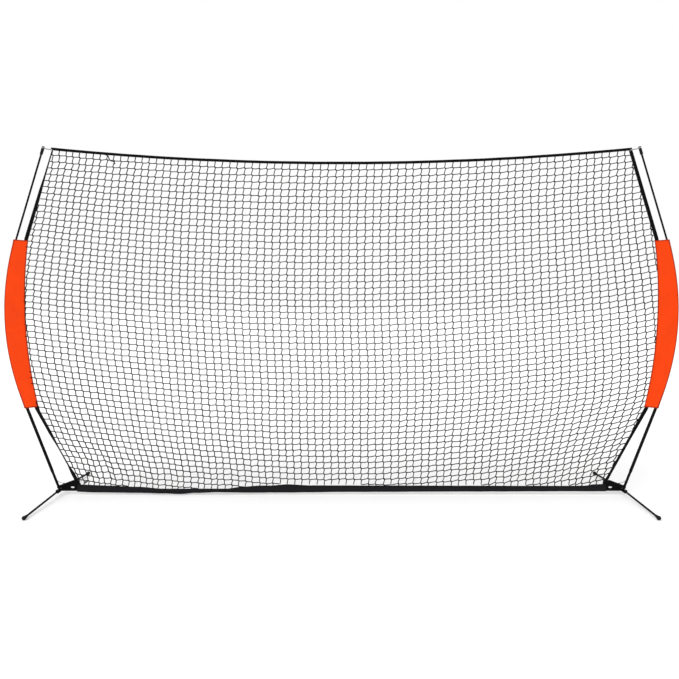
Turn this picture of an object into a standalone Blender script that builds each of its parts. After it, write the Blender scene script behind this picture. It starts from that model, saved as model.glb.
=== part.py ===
"""Portable barrier net for ball games, standing on the floor.

A wide rectangular net hangs between two bowed poles. Each pole stands on a post that leans out
of a steel foot, and each foot has a front and a back leg that fold in beside the crossbar.
The crossbar joins the feet along the floor and runs through the sleeve in the net's hem.

Metres, +Z up. X runs along the crossbar, -Y is the side that faces the player, and the origin
lies on the floor under the middle of the crossbar. Right-hand pieces are modelled, and
left-hand ones are their mirror images.
"""

from math import asin, atan, cos, pi, radians, sin, sqrt, tan

import bmesh
import bpy
from mathutils import Matrix, Vector

# ---------------------------------------------------------------- clearances
GAP = 0.0003                    # between pieces that touch or slide

# ---------------------------------------------------------------- base
BASE_SPAN = 3.658               # from one foot's centre to the other's, 12 ft
BASE_HEIGHT = 0.033             # crossbar axis above the floor
CROSSBAR_OD = 0.0127            # half-inch steel tube
CROSSBAR_WALL = 0.0012
COUPLER_LENGTH = 0.060          # how far one tube reaches into the next
COUPLER_WALL = 0.0010

# ---------------------------------------------------------------- feet
LEG_REACH = 0.485               # from the crossbar to the middle of a leg's tip
LEG_OD = 0.0127
LEG_WALL = 0.0012
LEG_PIVOT_OFFSET = 0.032        # from the crossbar to a leg's pivot bolt
TIP_RADIUS = 0.0130             # ball of the rubber tip
TIP_CENTRE_HEIGHT = 0.0125      # a little less than its radius, so the ball stands on a flat
TIP_NECK_RADIUS = 0.0086
TIP_GRIP = 0.026                # length of leg inside the tip
CHANNEL_WALL = 0.0025
CHANNEL_PLAY = 0.0008           # between a leg and the channel's flanges
CHANNEL_END = 0.012             # channel past each pivot bolt
CHANNEL_LIP = 0.0025            # flange past a leg's inner side
BOLT_RADIUS = 0.0025            # M5
BOLT_HOLE_RADIUS = 0.0028
BOLT_HEX_RADIUS = 0.0046        # across corners
BOLT_HEAD_HEIGHT = 0.0035
WASHER_RADIUS = 0.0052
WASHER_THICKNESS = 0.0008
NUT_HEIGHT = 0.0040
BOLT_PAST_NUT = 0.0010

# ---------------------------------------------------------------- poles
POLE_LEAN = radians(21.8)       # outward lean of the post and the steel tube
TIP_LEAN = radians(16.4)        # inward lean of the top of the pole
POLE_STRAIGHT = 0.640           # along the pole, from the crossbar to the start of the bow
BOW_RADIUS = 1.570
POLE_TUBE_OD = 0.01905          # three-quarter-inch steel tube
POLE_TUBE_WALL = 0.0012
POST_VISIBLE = 0.130            # along the post, from the crossbar to its stop ring
POST_WALL = 0.0013
POST_INSERT = 0.075             # post inside the pole tube
POST_SOLID = 0.032              # foot of the post, under its bore
STOP_RING_HEIGHT = 0.004
ROD_DIAMETER = 0.0127           # fibreglass
REDUCER_PLUG = 0.040            # reducer inside the pole tube
REDUCER_HEAD = 0.020            # reducer above the pole tube
ROD_JOINT = 1.170               # along the pole, where the two rods meet
FERRULE_LENGTH = 0.100
FERRULE_WALL = 0.0014
CAP_LENGTH = 0.055
CAP_RADIUS = 0.0095
CAP_CROWN = 0.007               # solid top of the cap
CAP_DOME = 0.0038               # height of its rounded edge
CAP_GROOVE_DEPTH = 0.0014
CAP_GROOVE_HEIGHT = 0.008
CAP_GROOVE_DOWN = 0.006         # from the top of the cap to the groove

# ---------------------------------------------------------------- snap buttons
BUTTON_CLEAR = 0.0003           # between a button and its hole
LARGE_BUTTON_RADIUS = 0.0030    # in the foot posts
LARGE_BUTTON_PROUD = 0.0028
SMALL_BUTTON_RADIUS = 0.0021    # in the crossbar
SMALL_BUTTON_PROUD = 0.0020
BUTTON_FLANGE = 0.0010          # button's base past its radius
BUTTON_BASE_THICKNESS = 0.0008
BUTTON_DOME = 0.0010            # height of a button's rounded top
LEAF_THICKNESS = 0.0005
LEAF_WIDTH = 0.0030
LEAF_REACH = 0.0150             # from the button's middle to the leaf's fold

# ---------------------------------------------------------------- net
NET_TOP_HEIGHT = 2.247          # middle of the top band at the corners
NET_TOP_SAG = 0.091             # fall of the top band from corner to centre
LOOP_RISE = 0.0083              # from the top band's corner up to the groove in the pole's cap
NET_CELLS_ACROSS = 24
NET_ROWS_BELOW = 3              # rows of cells below, beside and above the pole sleeves
NET_ROWS_BESIDE = 4
NET_ROWS_ABOVE = 3
STRAND_WIDTH = 0.006
STRAND_THICKNESS = 0.003
BELLY_DEPTH = 0.070             # how far the net bags backwards
BELLY_LOW = 0.85                # below 1, the belly is deepest below the net's middle
TOP_BAND_WIDTH = 0.018
SIDE_BAND_WIDTH = 0.022
BAND_THICKNESS = 0.0025
BAND_PARTS = 3                  # straight parts of a side band along each row of the net
HEM_TOP = 0.0635                # top of the hem above the floor
HEM_THICKNESS = 0.0032
HEM_FLAT_FROM = 0.016           # from the crossbar axis to the stitch line above it
HEM_FABRIC = 0.0009
SPREAD_AT_HEM = 0.139           # from the pole's axis to the side band's middle
SPREAD_LOW = 0.061
SPREAD_HIGH = 0.065
SPREAD_BULGE = 0.050            # extra spread in the middle of the pole sleeve

# ---------------------------------------------------------------- pole sleeves
SLEEVE_LOW = 0.573              # along the pole
SLEEVE_HIGH = 1.694
SLEEVE_FABRIC = 0.0008
SLEEVE_EASE = 0.0010            # looseness round the ferrule
SLEEVE_TO_NET = 0.0009          # from the sleeve's inner edge to the net's outer strand
SLEEVE_STATIONS = 12
SLEEVE_NARROWS = 0.060          # along the pole, from the steel tube's fit to the rod's
SLEEVE_END_LEAN = 0.25          # lean of the sleeve's ends, as a share of the pole's

# ---------------------------------------------------------------- corners
GUSSET_TOP = 0.098              # top of the corner gusset above the floor
GUSSET_THICKNESS = 0.0030
GUSSET_RING_FROM = 0.0160       # along the post
GUSSET_RING_HEIGHT = 0.011
GUSSET_RING_WALL = 0.0016
EYELET_LENGTH = 0.024
EYELET_HEIGHT = 0.011
EYELET_IN = 0.030               # from the hem's end to the eyelet's middle
EYELET_UP = 0.0108              # from the gusset's lower edge to the eyelet's middle
LOOP_WIDTH = 0.007              # strap from the net's top corner to the cap
LOOP_THICKNESS = 0.0012
TIE_DIAMETER = 0.0030
TIE_ALONG_POST = 0.058
TIE_KNOT_RADIUS = 0.0035
TIE_SHARE = 0.30                # where the knot meets the gusset's upper edge, from the ring
TIE_SAG = 0.003
TOGGLE_LENGTH = 0.026
TOGGLE_RADIUS = 0.007
TOGGLE_WAIST = 0.0060           # radius at the middle of the barrel
TOGGLE_EDGE = 0.0020            # chamfer at its ends
TOGGLE_FROM_END = 0.034         # in from the hem's left end
TOGGLE_LEAN = radians(50)
TOGGLE_CORD_RADIUS = 0.0015
TOGGLE_CORD = 0.014             # cord between the toggle and the net's lowest strand

# ---------------------------------------------------------------- fineness
STEPS = 16                      # facets round a turned piece
SMALL_STEPS = 12                # facets round a button, a bolt or a small hole
CORD_STEPS = 8                  # facets round a cord
HEX = 6
DOME_PARTS = 3                  # straight parts along a rounded end
BALL_PARTS = 6                  # along the ball of a leg's tip
HEM_PARTS = 10                  # round the crossbar
SLEEVE_POLE_PARTS = 8           # round the pole
SLEEVE_BAND_PARTS = 3           # round the side band's inner edge
ROD_POINTS = 0.045              # spacing of the points along a bent rod
SEARCH_STEPS = 40               # halvings when a place on the pole is looked for
ROUNDS = 8                      # when a height or a distance depends on itself

# ---------------------------------------------------------------- derived sizes
HALF_SPAN = BASE_SPAN / 2
CROSSBAR_RADIUS = CROSSBAR_OD / 2
CROSSBAR_BORE = CROSSBAR_RADIUS - CROSSBAR_WALL
COUPLER_RADIUS = CROSSBAR_BORE - GAP
COUPLER_BORE = COUPLER_RADIUS - COUPLER_WALL
LEG_RADIUS = LEG_OD / 2
POLE_RADIUS = POLE_TUBE_OD / 2
POLE_BORE = POLE_RADIUS - POLE_TUBE_WALL
POST_RADIUS = POLE_BORE - GAP
POST_BORE = POST_RADIUS - POST_WALL
ROD_RADIUS = ROD_DIAMETER / 2
ROD_HOLE = ROD_RADIUS + GAP
FERRULE_RADIUS = ROD_HOLE + FERRULE_WALL
REDUCER_TOP = POLE_STRAIGHT
TUBE_TOP = REDUCER_TOP - REDUCER_HEAD
REDUCER_BOTTOM = TUBE_TOP - REDUCER_PLUG
BOW_ARC = BOW_RADIUS * (POLE_LEAN + TIP_LEAN)
GROOVE_PAST_END = CAP_CROWN + GAP - CAP_GROOVE_DOWN - CAP_GROOVE_HEIGHT / 2

FLANGE_INNER = LEG_RADIUS + CHANNEL_PLAY
FLANGE_OUTER = FLANGE_INNER + CHANNEL_WALL
WEB_INNER = LEG_RADIUS + GAP
WEB_OUTER = WEB_INNER + CHANNEL_WALL
FLANGE_INWARD = LEG_RADIUS + CHANNEL_LIP
CHANNEL_HALF = LEG_PIVOT_OFFSET + CHANNEL_END
CROSSBAR_END = HALF_SPAN - FLANGE_INWARD - GAP
SECTION_END = CROSSBAR_END / 3              # end of the middle section, from the centre

LEG_RUN = LEG_REACH - LEG_PIVOT_OFFSET
LEG_DROP = BASE_HEIGHT - TIP_CENTRE_HEIGHT
LEG_SLOPE = atan(LEG_DROP / LEG_RUN)
LEG_LENGTH = sqrt(LEG_RUN ** 2 + LEG_DROP ** 2)

NET_ROWS = NET_ROWS_BELOW + NET_ROWS_BESIDE + NET_ROWS_ABOVE
SLEEVE_NOSE = BAND_THICKNESS / 2 + GAP      # sleeve's inner radius past the side band's edge
NET_INSET = SIDE_BAND_WIDTH / 2 + SLEEVE_NOSE + SLEEVE_FABRIC + SLEEVE_TO_NET

STEEL_BLACK = ((0.012, 0.012, 0.013), 0.38, 0.6)
STEEL_PLAIN = ((0.42, 0.42, 0.43), 0.32, 1.0)
FIBREGLASS = ((0.010, 0.010, 0.011), 0.30, 0.0)
RUBBER = ((0.011, 0.011, 0.011), 0.75, 0.0)
BLACK_WEBBING = ((0.013, 0.013, 0.014), 0.85, 0.0)
BLACK_FABRIC = ((0.017, 0.017, 0.018), 0.80, 0.0)
TWINE = ((0.022, 0.022, 0.024), 0.70, 0.0)
ORANGE_FABRIC = ((0.84, 0.075, 0.010), 0.75, 0.0)
GREY_PLASTIC = ((0.09, 0.09, 0.095), 0.45, 0.0)

ASSEMBLY = "barrier_net"
HELPERS = "cutters"


# ---------------------------------------------------------------- scene and objects
def clear_scene():
    for item in list(bpy.data.objects):
        bpy.data.objects.remove(item, do_unlink=True)


def collection(name):
    found = bpy.data.collections.get(name)
    if found is None:
        found = bpy.data.collections.new(name)
        bpy.context.scene.collection.children.link(found)
    return found


def finish_material(name, finish):
    colour, roughness, metallic = finish
    material = bpy.data.materials.new(name)
    material.use_nodes = True
    shader = material.node_tree.nodes["Principled BSDF"]
    shader.inputs["Base Color"].default_value = (*colour, 1.0)
    shader.inputs["Roughness"].default_value = roughness
    shader.inputs["Metallic"].default_value = metallic
    material.diffuse_color = (*colour, 1.0)
    return material


def piece(name, mesh, finish, place=Matrix()):
    """A named part of the net, with its own material."""
    mesh.name = name
    mesh.materials.clear()
    mesh.materials.append(finish_material(name, finish))
    item = bpy.data.objects.new(name, mesh)
    item.matrix_world = place
    collection(ASSEMBLY).objects.link(item)
    return item


def helper(name, mesh, place=Matrix()):
    """A body that only adds to or cuts another one."""
    mesh.name = name
    item = bpy.data.objects.new(name, mesh)
    item.matrix_world = place
    item.hide_render = True
    item.display_type = 'WIRE'
    collection(HELPERS).objects.link(item)
    return item


def boolean(target, other, operation):
    modifier = target.modifiers.new(f"{operation.lower()}_{other.name}", 'BOOLEAN')
    modifier.operation = operation
    modifier.solver = 'EXACT'
    modifier.object = other


def evaluated_mesh(item):
    """The shape of an object with its modifiers, as a mesh of its own."""
    bpy.context.view_layer.update()
    graph = bpy.context.evaluated_depsgraph_get()
    return bpy.data.meshes.new_from_object(item.evaluated_get(graph))


def mirrored(source, name, finish, axis):
    """The mirror image of a piece across the plane X = 0 or Y = 0, with its origin mirrored too."""
    flip = Matrix.Scale(-1, 4, axis)
    mesh = evaluated_mesh(source)
    place = Matrix.Translation(flip @ source.matrix_world.translation)
    mesh.transform(place.inverted() @ flip @ source.matrix_world)
    mesh.flip_normals()
    return piece(name, mesh, finish, place)


def left_and_right(maker, stem, finish):
    """Make the right-hand piece, then its left-hand mirror image."""
    right = maker(f"{stem}_right")
    left = mirrored(right, f"{stem}_left", finish, Vector((1, 0, 0)))
    return left, right


# ---------------------------------------------------------------- shapes
def box_mesh(low, high):
    centre = (Vector(low) + Vector(high)) / 2
    size = Vector(high) - Vector(low)
    shape = bmesh.new()
    place = Matrix.Translation(centre) @ Matrix.Diagonal((*size, 1))
    bmesh.ops.create_cube(shape, size=1.0, matrix=place)
    return to_mesh(shape)


def rod_mesh(radius, low, high, sides=STEPS):
    """A solid round or hexagonal bar along local Z."""
    shape = bmesh.new()
    bmesh.ops.create_cone(shape, cap_ends=True, segments=sides, radius1=radius, radius2=radius,
                          depth=high - low, matrix=Matrix.Translation((0, 0, (low + high) / 2)))
    return to_mesh(shape)


def to_mesh(shape):
    mesh = bpy.data.meshes.new("shape")
    shape.to_mesh(mesh)
    shape.free()
    return mesh


def round_off(item):
    """Shade the round sides smooth and keep the real edges sharp."""
    item.data.shade_smooth()
    item.data.set_sharp_from_angle(angle=radians(40))


def turned(name, profile, finish, place, hollow=False, steps=STEPS):
    """A turned piece about local Z. The profile holds (radius, height) down the outer side."""
    mesh = bpy.data.meshes.new(name)
    points = [(radius, 0, height) for radius, height in profile]
    edges = [(i, i + 1) for i in range(len(points) - 1)]
    if hollow:
        edges.append((len(points) - 1, 0))
    mesh.from_pydata(points, edges, [])
    item = piece(name, mesh, finish, place)
    screw = item.modifiers.new("turn", 'SCREW')
    screw.steps = steps
    screw.render_steps = steps
    screw.use_merge_vertices = True
    screw.merge_threshold = 0.00001
    return item


def bent_rod_mesh(points, radius, capped, resolution=2):
    """A round bar along a list of points, open at its ends where it isn't capped."""
    curve = bpy.data.curves.new("bar", 'CURVE')
    curve.dimensions = '3D'
    curve.bevel_depth = radius
    curve.bevel_resolution = resolution
    curve.use_fill_caps = capped
    line = curve.splines.new('POLY')
    line.points.add(len(points) - 1)
    for point, place in zip(line.points, points):
        point.co = (*place, 1)
    item = bpy.data.objects.new("bar", curve)
    collection(HELPERS).objects.link(item)
    mesh = evaluated_mesh(item)
    bpy.data.objects.remove(item, do_unlink=True)
    shape = bmesh.new()
    shape.from_mesh(mesh)
    bmesh.ops.remove_doubles(shape, verts=shape.verts, dist=0.00001)
    shape.to_mesh(mesh)
    shape.free()
    return mesh


def lofted_mesh(sections, closed_ring):
    """A sheet through sections of equal point counts, open at both ends. A tube faces outward."""
    shape = bmesh.new()
    rings = [[shape.verts.new(point) for point in section] for section in sections]
    count = len(sections[0])
    spans = count if closed_ring else count - 1
    for first, second in zip(rings, rings[1:]):
        for i in range(spans):
            after = (i + 1) % count
            shape.faces.new((first[i], first[after], second[after], second[i]))
    shape.faces.ensure_lookup_table()
    shape.normal_update()
    middle = sum((Vector(point) for point in sections[0]), Vector()) / count
    face = shape.faces[0]
    if closed_ring and face.normal.dot(face.calc_center_median() - middle) < 0:
        bmesh.ops.reverse_faces(shape, faces=shape.faces)
    return to_mesh(shape)


def extruded_mesh(outline, move):
    """A closed plate or bar: an outline of points, pushed along one way."""
    shape = bmesh.new()
    face = shape.faces.new([shape.verts.new(point) for point in outline])
    grown = bmesh.ops.extrude_face_region(shape, geom=[face])
    moved = [part for part in grown["geom"] if isinstance(part, bmesh.types.BMVert)]
    bmesh.ops.translate(shape, verts=moved, vec=move)
    bmesh.ops.recalc_face_normals(shape, faces=shape.faces)
    return to_mesh(shape)


def dome(radius, top, height):
    """Profile of a rounded end, from its middle out."""
    angles = [pi / 2 * i / DOME_PARTS for i in range(DOME_PARTS + 1)]
    return [(radius * sin(angle), top - height * (1 - cos(angle))) for angle in angles]


def thicken(item, thickness, offset):
    """Give a sheet its thickness: offset 1 is all outward, -1 all inward, 0 half each way."""
    wall = item.modifiers.new("wall", 'SOLIDIFY')
    wall.thickness = thickness
    wall.offset = offset
    wall.use_even_offset = True


def aimed(origin, direction, across=Vector((0, 1, 0))):
    """A place whose local Z runs along a direction and whose local Y is as near as can be to across."""
    z_axis = direction.normalized()
    x_axis = across.cross(z_axis).normalized()
    y_axis = z_axis.cross(x_axis)
    turn = Matrix((x_axis, y_axis, z_axis)).transposed().to_4x4()
    return Matrix.Translation(origin) @ turn


# ---------------------------------------------------------------- lines of the net and its poles
def pole_lean(along):
    """Outward lean of the right pole at a distance along it from the crossbar."""
    bowed = min(max(along - POLE_STRAIGHT, 0), BOW_ARC)
    return POLE_LEAN - bowed / BOW_RADIUS


def pole_point(along):
    """Middle of the right pole at a distance along it: straight, then a bow, then straight."""
    lower = min(along, POLE_STRAIGHT)
    upper = max(along - POLE_STRAIGHT - BOW_ARC, 0)
    lean = pole_lean(along)
    x = HALF_SPAN + lower * sin(POLE_LEAN)
    z = BASE_HEIGHT + lower * cos(POLE_LEAN)
    x += BOW_RADIUS * (cos(lean) - cos(POLE_LEAN)) + upper * sin(lean)
    z += BOW_RADIUS * (sin(POLE_LEAN) - sin(lean)) + upper * cos(lean)
    return Vector((x, 0, z))


def pole_direction(along):
    lean = pole_lean(along)
    return Vector((sin(lean), 0, cos(lean)))


def pole_place(along):
    return aimed(pole_point(along), pole_direction(along))


def along_pole_at(height):
    """Distance along the right pole at which it reaches a height."""
    low, high = 0.0, 2 * height
    for _ in range(SEARCH_STEPS):
        middle = (low + high) / 2
        if pole_point(middle).z < height:
            low = middle
        else:
            high = middle
    return (low + high) / 2


def pole_stations(start, end):
    """Points along the right pole, evenly spaced."""
    count = max(2, round((end - start) / ROD_POINTS)) + 1
    return [pole_point(start + (end - start) * i / (count - 1)) for i in range(count)]


POLE_END = along_pole_at(NET_TOP_HEIGHT + LOOP_RISE) - GROOVE_PAST_END
SLEEVE_LOW_HEIGHT = pole_point(SLEEVE_LOW).z
SLEEVE_HIGH_HEIGHT = pole_point(SLEEVE_HIGH).z


def spread(height):
    """Distance along X from the pole's axis to the side band's middle."""
    if height < SLEEVE_LOW_HEIGHT:
        share = (height - HEM_TOP) / (SLEEVE_LOW_HEIGHT - HEM_TOP)
        return SPREAD_AT_HEM + (SPREAD_LOW - SPREAD_AT_HEM) * share
    if height > SLEEVE_HIGH_HEIGHT:
        return SPREAD_HIGH
    share = (height - SLEEVE_LOW_HEIGHT) / (SLEEVE_HIGH_HEIGHT - SLEEVE_LOW_HEIGHT)
    bulge = SPREAD_BULGE * (1 - (2 * share - 1) ** 2)
    return SPREAD_LOW + (SPREAD_HIGH - SPREAD_LOW) * share + bulge


def band_x(height):
    """Middle of the right side band."""
    return pole_point(along_pole_at(height)).x - spread(height)


def band_lean(height):
    step = 0.002
    below = max(height - step, HEM_TOP)
    return atan((band_x(height + step) - band_x(below)) / (height + step - below))


def band_edge_x(height, outward):
    """A line beside the side band's middle, at a distance outward square to the band."""
    return band_x(height) + outward / cos(band_lean(height))


CORNER_X = band_x(NET_TOP_HEIGHT)


def top_line(x):
    """Height of the top band's middle."""
    return NET_TOP_HEIGHT - NET_TOP_SAG * (1 - (x / CORNER_X) ** 2)


def under_top_band(outward):
    """Height at which a line beside the side band meets the underside of the top band."""
    height = NET_TOP_HEIGHT
    for _ in range(ROUNDS):
        height = top_line(band_edge_x(height, outward)) - TOP_BAND_WIDTH / 2 - GAP
    return height


NET_BOTTOM = HEM_TOP + GAP
HEM_END = band_edge_x(HEM_TOP, SIDE_BAND_WIDTH / 2)


def row_heights(top):
    """Heights of the net's rows at its sides, with rows at both ends of the pole sleeves."""
    marks = [NET_BOTTOM, SLEEVE_LOW_HEIGHT, SLEEVE_HIGH_HEIGHT, top]
    counts = [NET_ROWS_BELOW, NET_ROWS_BESIDE, NET_ROWS_ABOVE]
    heights = []
    for low, high, count in zip(marks, marks[1:], counts):
        heights += [low + (high - low) * i / count for i in range(count)]
    return heights + [top]


# ---------------------------------------------------------------- crossbar
def along_x(x):
    """Local Z runs along +X, from a point on the crossbar's axis."""
    return aimed(Vector((x, 0, BASE_HEIGHT)), Vector((1, 0, 0)))


def button_hole(target, centre, direction, radius, depth):
    """Drill a snap button's hole through one wall, outward from the tube's axis."""
    place = aimed(centre, direction, Vector((1, 0, 0)))
    cutter = helper(f"{target.name}_hole", rod_mesh(radius, 0, depth, SMALL_STEPS), place)
    boolean(target, cutter, 'DIFFERENCE')


POST_BUTTON = POST_VISIBLE + POST_INSERT / 2
COUPLER_BUTTON_X = SECTION_END + COUPLER_LENGTH / 2
FOOT_BUTTON_X = CROSSBAR_END - COUPLER_LENGTH / 2
SMALL_HOLE = SMALL_BUTTON_RADIUS + BUTTON_CLEAR
LARGE_HOLE = LARGE_BUTTON_RADIUS + BUTTON_CLEAR
UP = Vector((0, 0, 1))
BACK = Vector((0, 1, 0))


def post_hole(target):
    """Drill the hole for the post's snap button, in the post or the pole tube."""
    place = aimed(pole_point(POST_BUTTON), BACK, pole_direction(0))
    cutter = rod_mesh(LARGE_HOLE, 0, POLE_TUBE_OD, SMALL_STEPS)
    boolean(target, helper(f"{target.name}_post_hole", cutter, place), 'DIFFERENCE')


def crossbar_middle():
    """Middle section: a tube with a swaged coupler at each end."""
    end = SECTION_END
    tip = SECTION_END + COUPLER_LENGTH
    neck = SECTION_END - CROSSBAR_OD        # where the bore narrows
    profile = [
        (COUPLER_RADIUS, tip), (COUPLER_RADIUS, end), (CROSSBAR_RADIUS, end),
        (CROSSBAR_RADIUS, -end), (COUPLER_RADIUS, -end), (COUPLER_RADIUS, -tip),
        (COUPLER_BORE, -tip), (COUPLER_BORE, -end), (CROSSBAR_BORE, -neck),
        (CROSSBAR_BORE, neck), (COUPLER_BORE, end), (COUPLER_BORE, tip),
    ]
    item = turned("crossbar_middle", profile, STEEL_BLACK, along_x(0), hollow=True)
    for side in (-1, 1):
        centre = Vector((side * COUPLER_BUTTON_X, 0, BASE_HEIGHT))
        button_hole(item, centre, UP, SMALL_HOLE, CROSSBAR_OD)
    round_off(item)


def crossbar_side(name):
    """Outer section: a plain tube over the middle section's coupler and the foot's stub."""
    start, end = SECTION_END + GAP, CROSSBAR_END
    profile = [
        (CROSSBAR_RADIUS, end), (CROSSBAR_RADIUS, start),
        (CROSSBAR_BORE, start), (CROSSBAR_BORE, end),
    ]
    item = turned(name, profile, STEEL_BLACK, along_x(0), hollow=True)
    button_hole(item, Vector((COUPLER_BUTTON_X, 0, BASE_HEIGHT)), UP, SMALL_HOLE, CROSSBAR_OD)
    button_hole(item, Vector((FOOT_BUTTON_X, 0, BASE_HEIGHT)), BACK, SMALL_HOLE, CROSSBAR_OD)
    round_off(item)
    return item


# ---------------------------------------------------------------- feet
def foot_bracket(name):
    """Channel for the two legs, with the stub for the crossbar and the leaning post for the pole."""
    foot = Matrix.Translation((HALF_SPAN, 0, BASE_HEIGHT))
    section = [
        (WEB_OUTER, -FLANGE_OUTER), (WEB_OUTER, FLANGE_OUTER), (-FLANGE_INWARD, FLANGE_OUTER),
        (-FLANGE_INWARD, FLANGE_INNER), (WEB_INNER, FLANGE_INNER), (WEB_INNER, -FLANGE_INNER),
        (-FLANGE_INWARD, -FLANGE_INNER), (-FLANGE_INWARD, -FLANGE_OUTER),
    ]
    outline = [(x, -CHANNEL_HALF, z) for x, z in section]
    item = piece(name, extruded_mesh(outline, (0, 2 * CHANNEL_HALF, 0)), STEEL_BLACK, foot)

    half = POST_RADIUS + GAP
    rise = FLANGE_INNER + CHANNEL_WALL / 2
    block = box_mesh((-FLANGE_INWARD, -half, -rise), (WEB_INNER + CHANNEL_WALL / 2, half, rise))
    stub = rod_mesh(COUPLER_RADIUS, -COUPLER_LENGTH - FLANGE_INWARD, 0)
    post_top = POST_VISIBLE + POST_INSERT
    post = rod_mesh(POST_RADIUS, LEG_RADIUS / 2, post_top)
    stop = rod_mesh(POLE_RADIUS, POST_VISIBLE - STOP_RING_HEIGHT, POST_VISIBLE)
    boolean(item, helper(f"{name}_block", block, foot), 'UNION')
    boolean(item, helper(f"{name}_stub", stub, along_x(HALF_SPAN)), 'UNION')
    boolean(item, helper(f"{name}_post", post, pole_place(0)), 'UNION')
    boolean(item, helper(f"{name}_stop", stop, pole_place(0)), 'UNION')

    stub_bore = rod_mesh(COUPLER_BORE, -2 * COUPLER_LENGTH, -FLANGE_INWARD - COUPLER_WALL)
    post_bore = rod_mesh(POST_BORE, POST_SOLID, 2 * post_top)
    boolean(item, helper(f"{name}_stub_bore", stub_bore, along_x(HALF_SPAN)), 'DIFFERENCE')
    boolean(item, helper(f"{name}_post_bore", post_bore, pole_place(0)), 'DIFFERENCE')
    button_hole(item, Vector((FOOT_BUTTON_X, 0, BASE_HEIGHT)), BACK, SMALL_HOLE, CROSSBAR_OD)
    post_hole(item)
    for side in (-1, 1):
        bolt_hole = rod_mesh(BOLT_HOLE_RADIUS, -2 * FLANGE_OUTER, 2 * FLANGE_OUTER, SMALL_STEPS)
        place = foot @ Matrix.Translation((0, side * LEG_PIVOT_OFFSET, 0))
        boolean(item, helper(f"{name}_bolt_hole_{side}", bolt_hole, place), 'DIFFERENCE')
    return item


PIVOT_FRONT = Vector((HALF_SPAN, -LEG_PIVOT_OFFSET, BASE_HEIGHT))
LEG_DIRECTION = Vector((0, -cos(LEG_SLOPE), -sin(LEG_SLOPE)))


def leg(name):
    """Front right leg: a tube that slopes to its tip, with a drilled eye round the pivot bolt."""
    pivot = Matrix.Translation(PIVOT_FRONT)
    slope = aimed(PIVOT_FRONT, LEG_DIRECTION, Vector((1, 0, 0)))
    item = piece(name, rod_mesh(LEG_RADIUS, -LEG_RADIUS, LEG_RADIUS), STEEL_BLACK, pivot)
    tube = rod_mesh(LEG_RADIUS, 0, LEG_LENGTH - LEG_RADIUS / 2)
    bore = rod_mesh(LEG_RADIUS - LEG_WALL, LEG_OD * 2, LEG_LENGTH * 2, SMALL_STEPS)
    hole = rod_mesh(BOLT_HOLE_RADIUS, -LEG_OD, LEG_OD, SMALL_STEPS)
    boolean(item, helper(f"{name}_tube", tube, slope), 'UNION')
    boolean(item, helper(f"{name}_bore", bore, slope), 'DIFFERENCE')
    boolean(item, helper(f"{name}_eye_hole", hole, pivot), 'DIFFERENCE')
    return item


def leg_tip(name):
    """Rubber tip of the front right leg: a sleeve that ends in a ball with a flat on the floor."""
    centre = PIVOT_FRONT + LEG_DIRECTION * LEG_LENGTH
    mouth = -LEG_RADIUS / 2 - TIP_GRIP
    hole = LEG_RADIUS + GAP
    hole_floor = GAP - LEG_RADIUS / 2
    neck_angle = pi - asin(TIP_NECK_RADIUS / TIP_RADIUS)
    ball = [(TIP_RADIUS * sin(angle), TIP_RADIUS * cos(angle))
            for angle in [neck_angle * i / BALL_PARTS for i in range(BALL_PARTS + 1)]]
    profile = ball + [(TIP_NECK_RADIUS, mouth), (hole, mouth), (hole, hole_floor), (0, hole_floor)]
    item = turned(name, profile, RUBBER, aimed(centre, LEG_DIRECTION, Vector((1, 0, 0))))
    ground = box_mesh((-TIP_GRIP, -TIP_GRIP, -TIP_GRIP), (TIP_GRIP, TIP_GRIP, 0))
    under = Matrix.Translation((centre.x, centre.y, 0))
    boolean(item, helper(f"{name}_floor", ground, under), 'DIFFERENCE')
    round_off(item)
    return item


def pivot_bolt(name):
    """Hexagon bolt with its washer, down through the channel and the leg's eye."""
    pivot = Matrix.Translation(PIVOT_FRONT)
    seat = FLANGE_OUTER + GAP
    head_low = seat + WASHER_THICKNESS / 2
    end = -FLANGE_OUTER - 2 * GAP - NUT_HEIGHT - BOLT_PAST_NUT
    washer = rod_mesh(WASHER_RADIUS, seat, seat + WASHER_THICKNESS)
    item = piece(name, washer, STEEL_PLAIN, pivot)
    head = rod_mesh(BOLT_HEX_RADIUS, head_low, head_low + BOLT_HEAD_HEIGHT, HEX)
    shank = rod_mesh(BOLT_RADIUS, end, head_low, SMALL_STEPS)
    boolean(item, helper(f"{name}_head", head, pivot), 'UNION')
    boolean(item, helper(f"{name}_shank", shank, pivot), 'UNION')
    return item


def pivot_nut(name):
    pivot = Matrix.Translation(PIVOT_FRONT)
    top = -FLANGE_OUTER - GAP
    item = piece(name, rod_mesh(BOLT_HEX_RADIUS, top - NUT_HEIGHT, top, HEX), STEEL_PLAIN, pivot)
    hole = rod_mesh(BOLT_HOLE_RADIUS, top - 2 * NUT_HEIGHT, top + NUT_HEIGHT, SMALL_STEPS)
    boolean(item, helper(f"{name}_hole", hole, pivot), 'DIFFERENCE')
    return item


def four_corners(maker, stem, finish):
    """One piece for each leg, from the front right one."""
    front_right = maker(f"{stem}_front_right")
    back_right = mirrored(front_right, f"{stem}_back_right", finish, Vector((0, 1, 0)))
    for source, end in ((front_right, "front"), (back_right, "back")):
        mirrored(source, f"{stem}_{end}_left", finish, Vector((1, 0, 0)))


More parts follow.
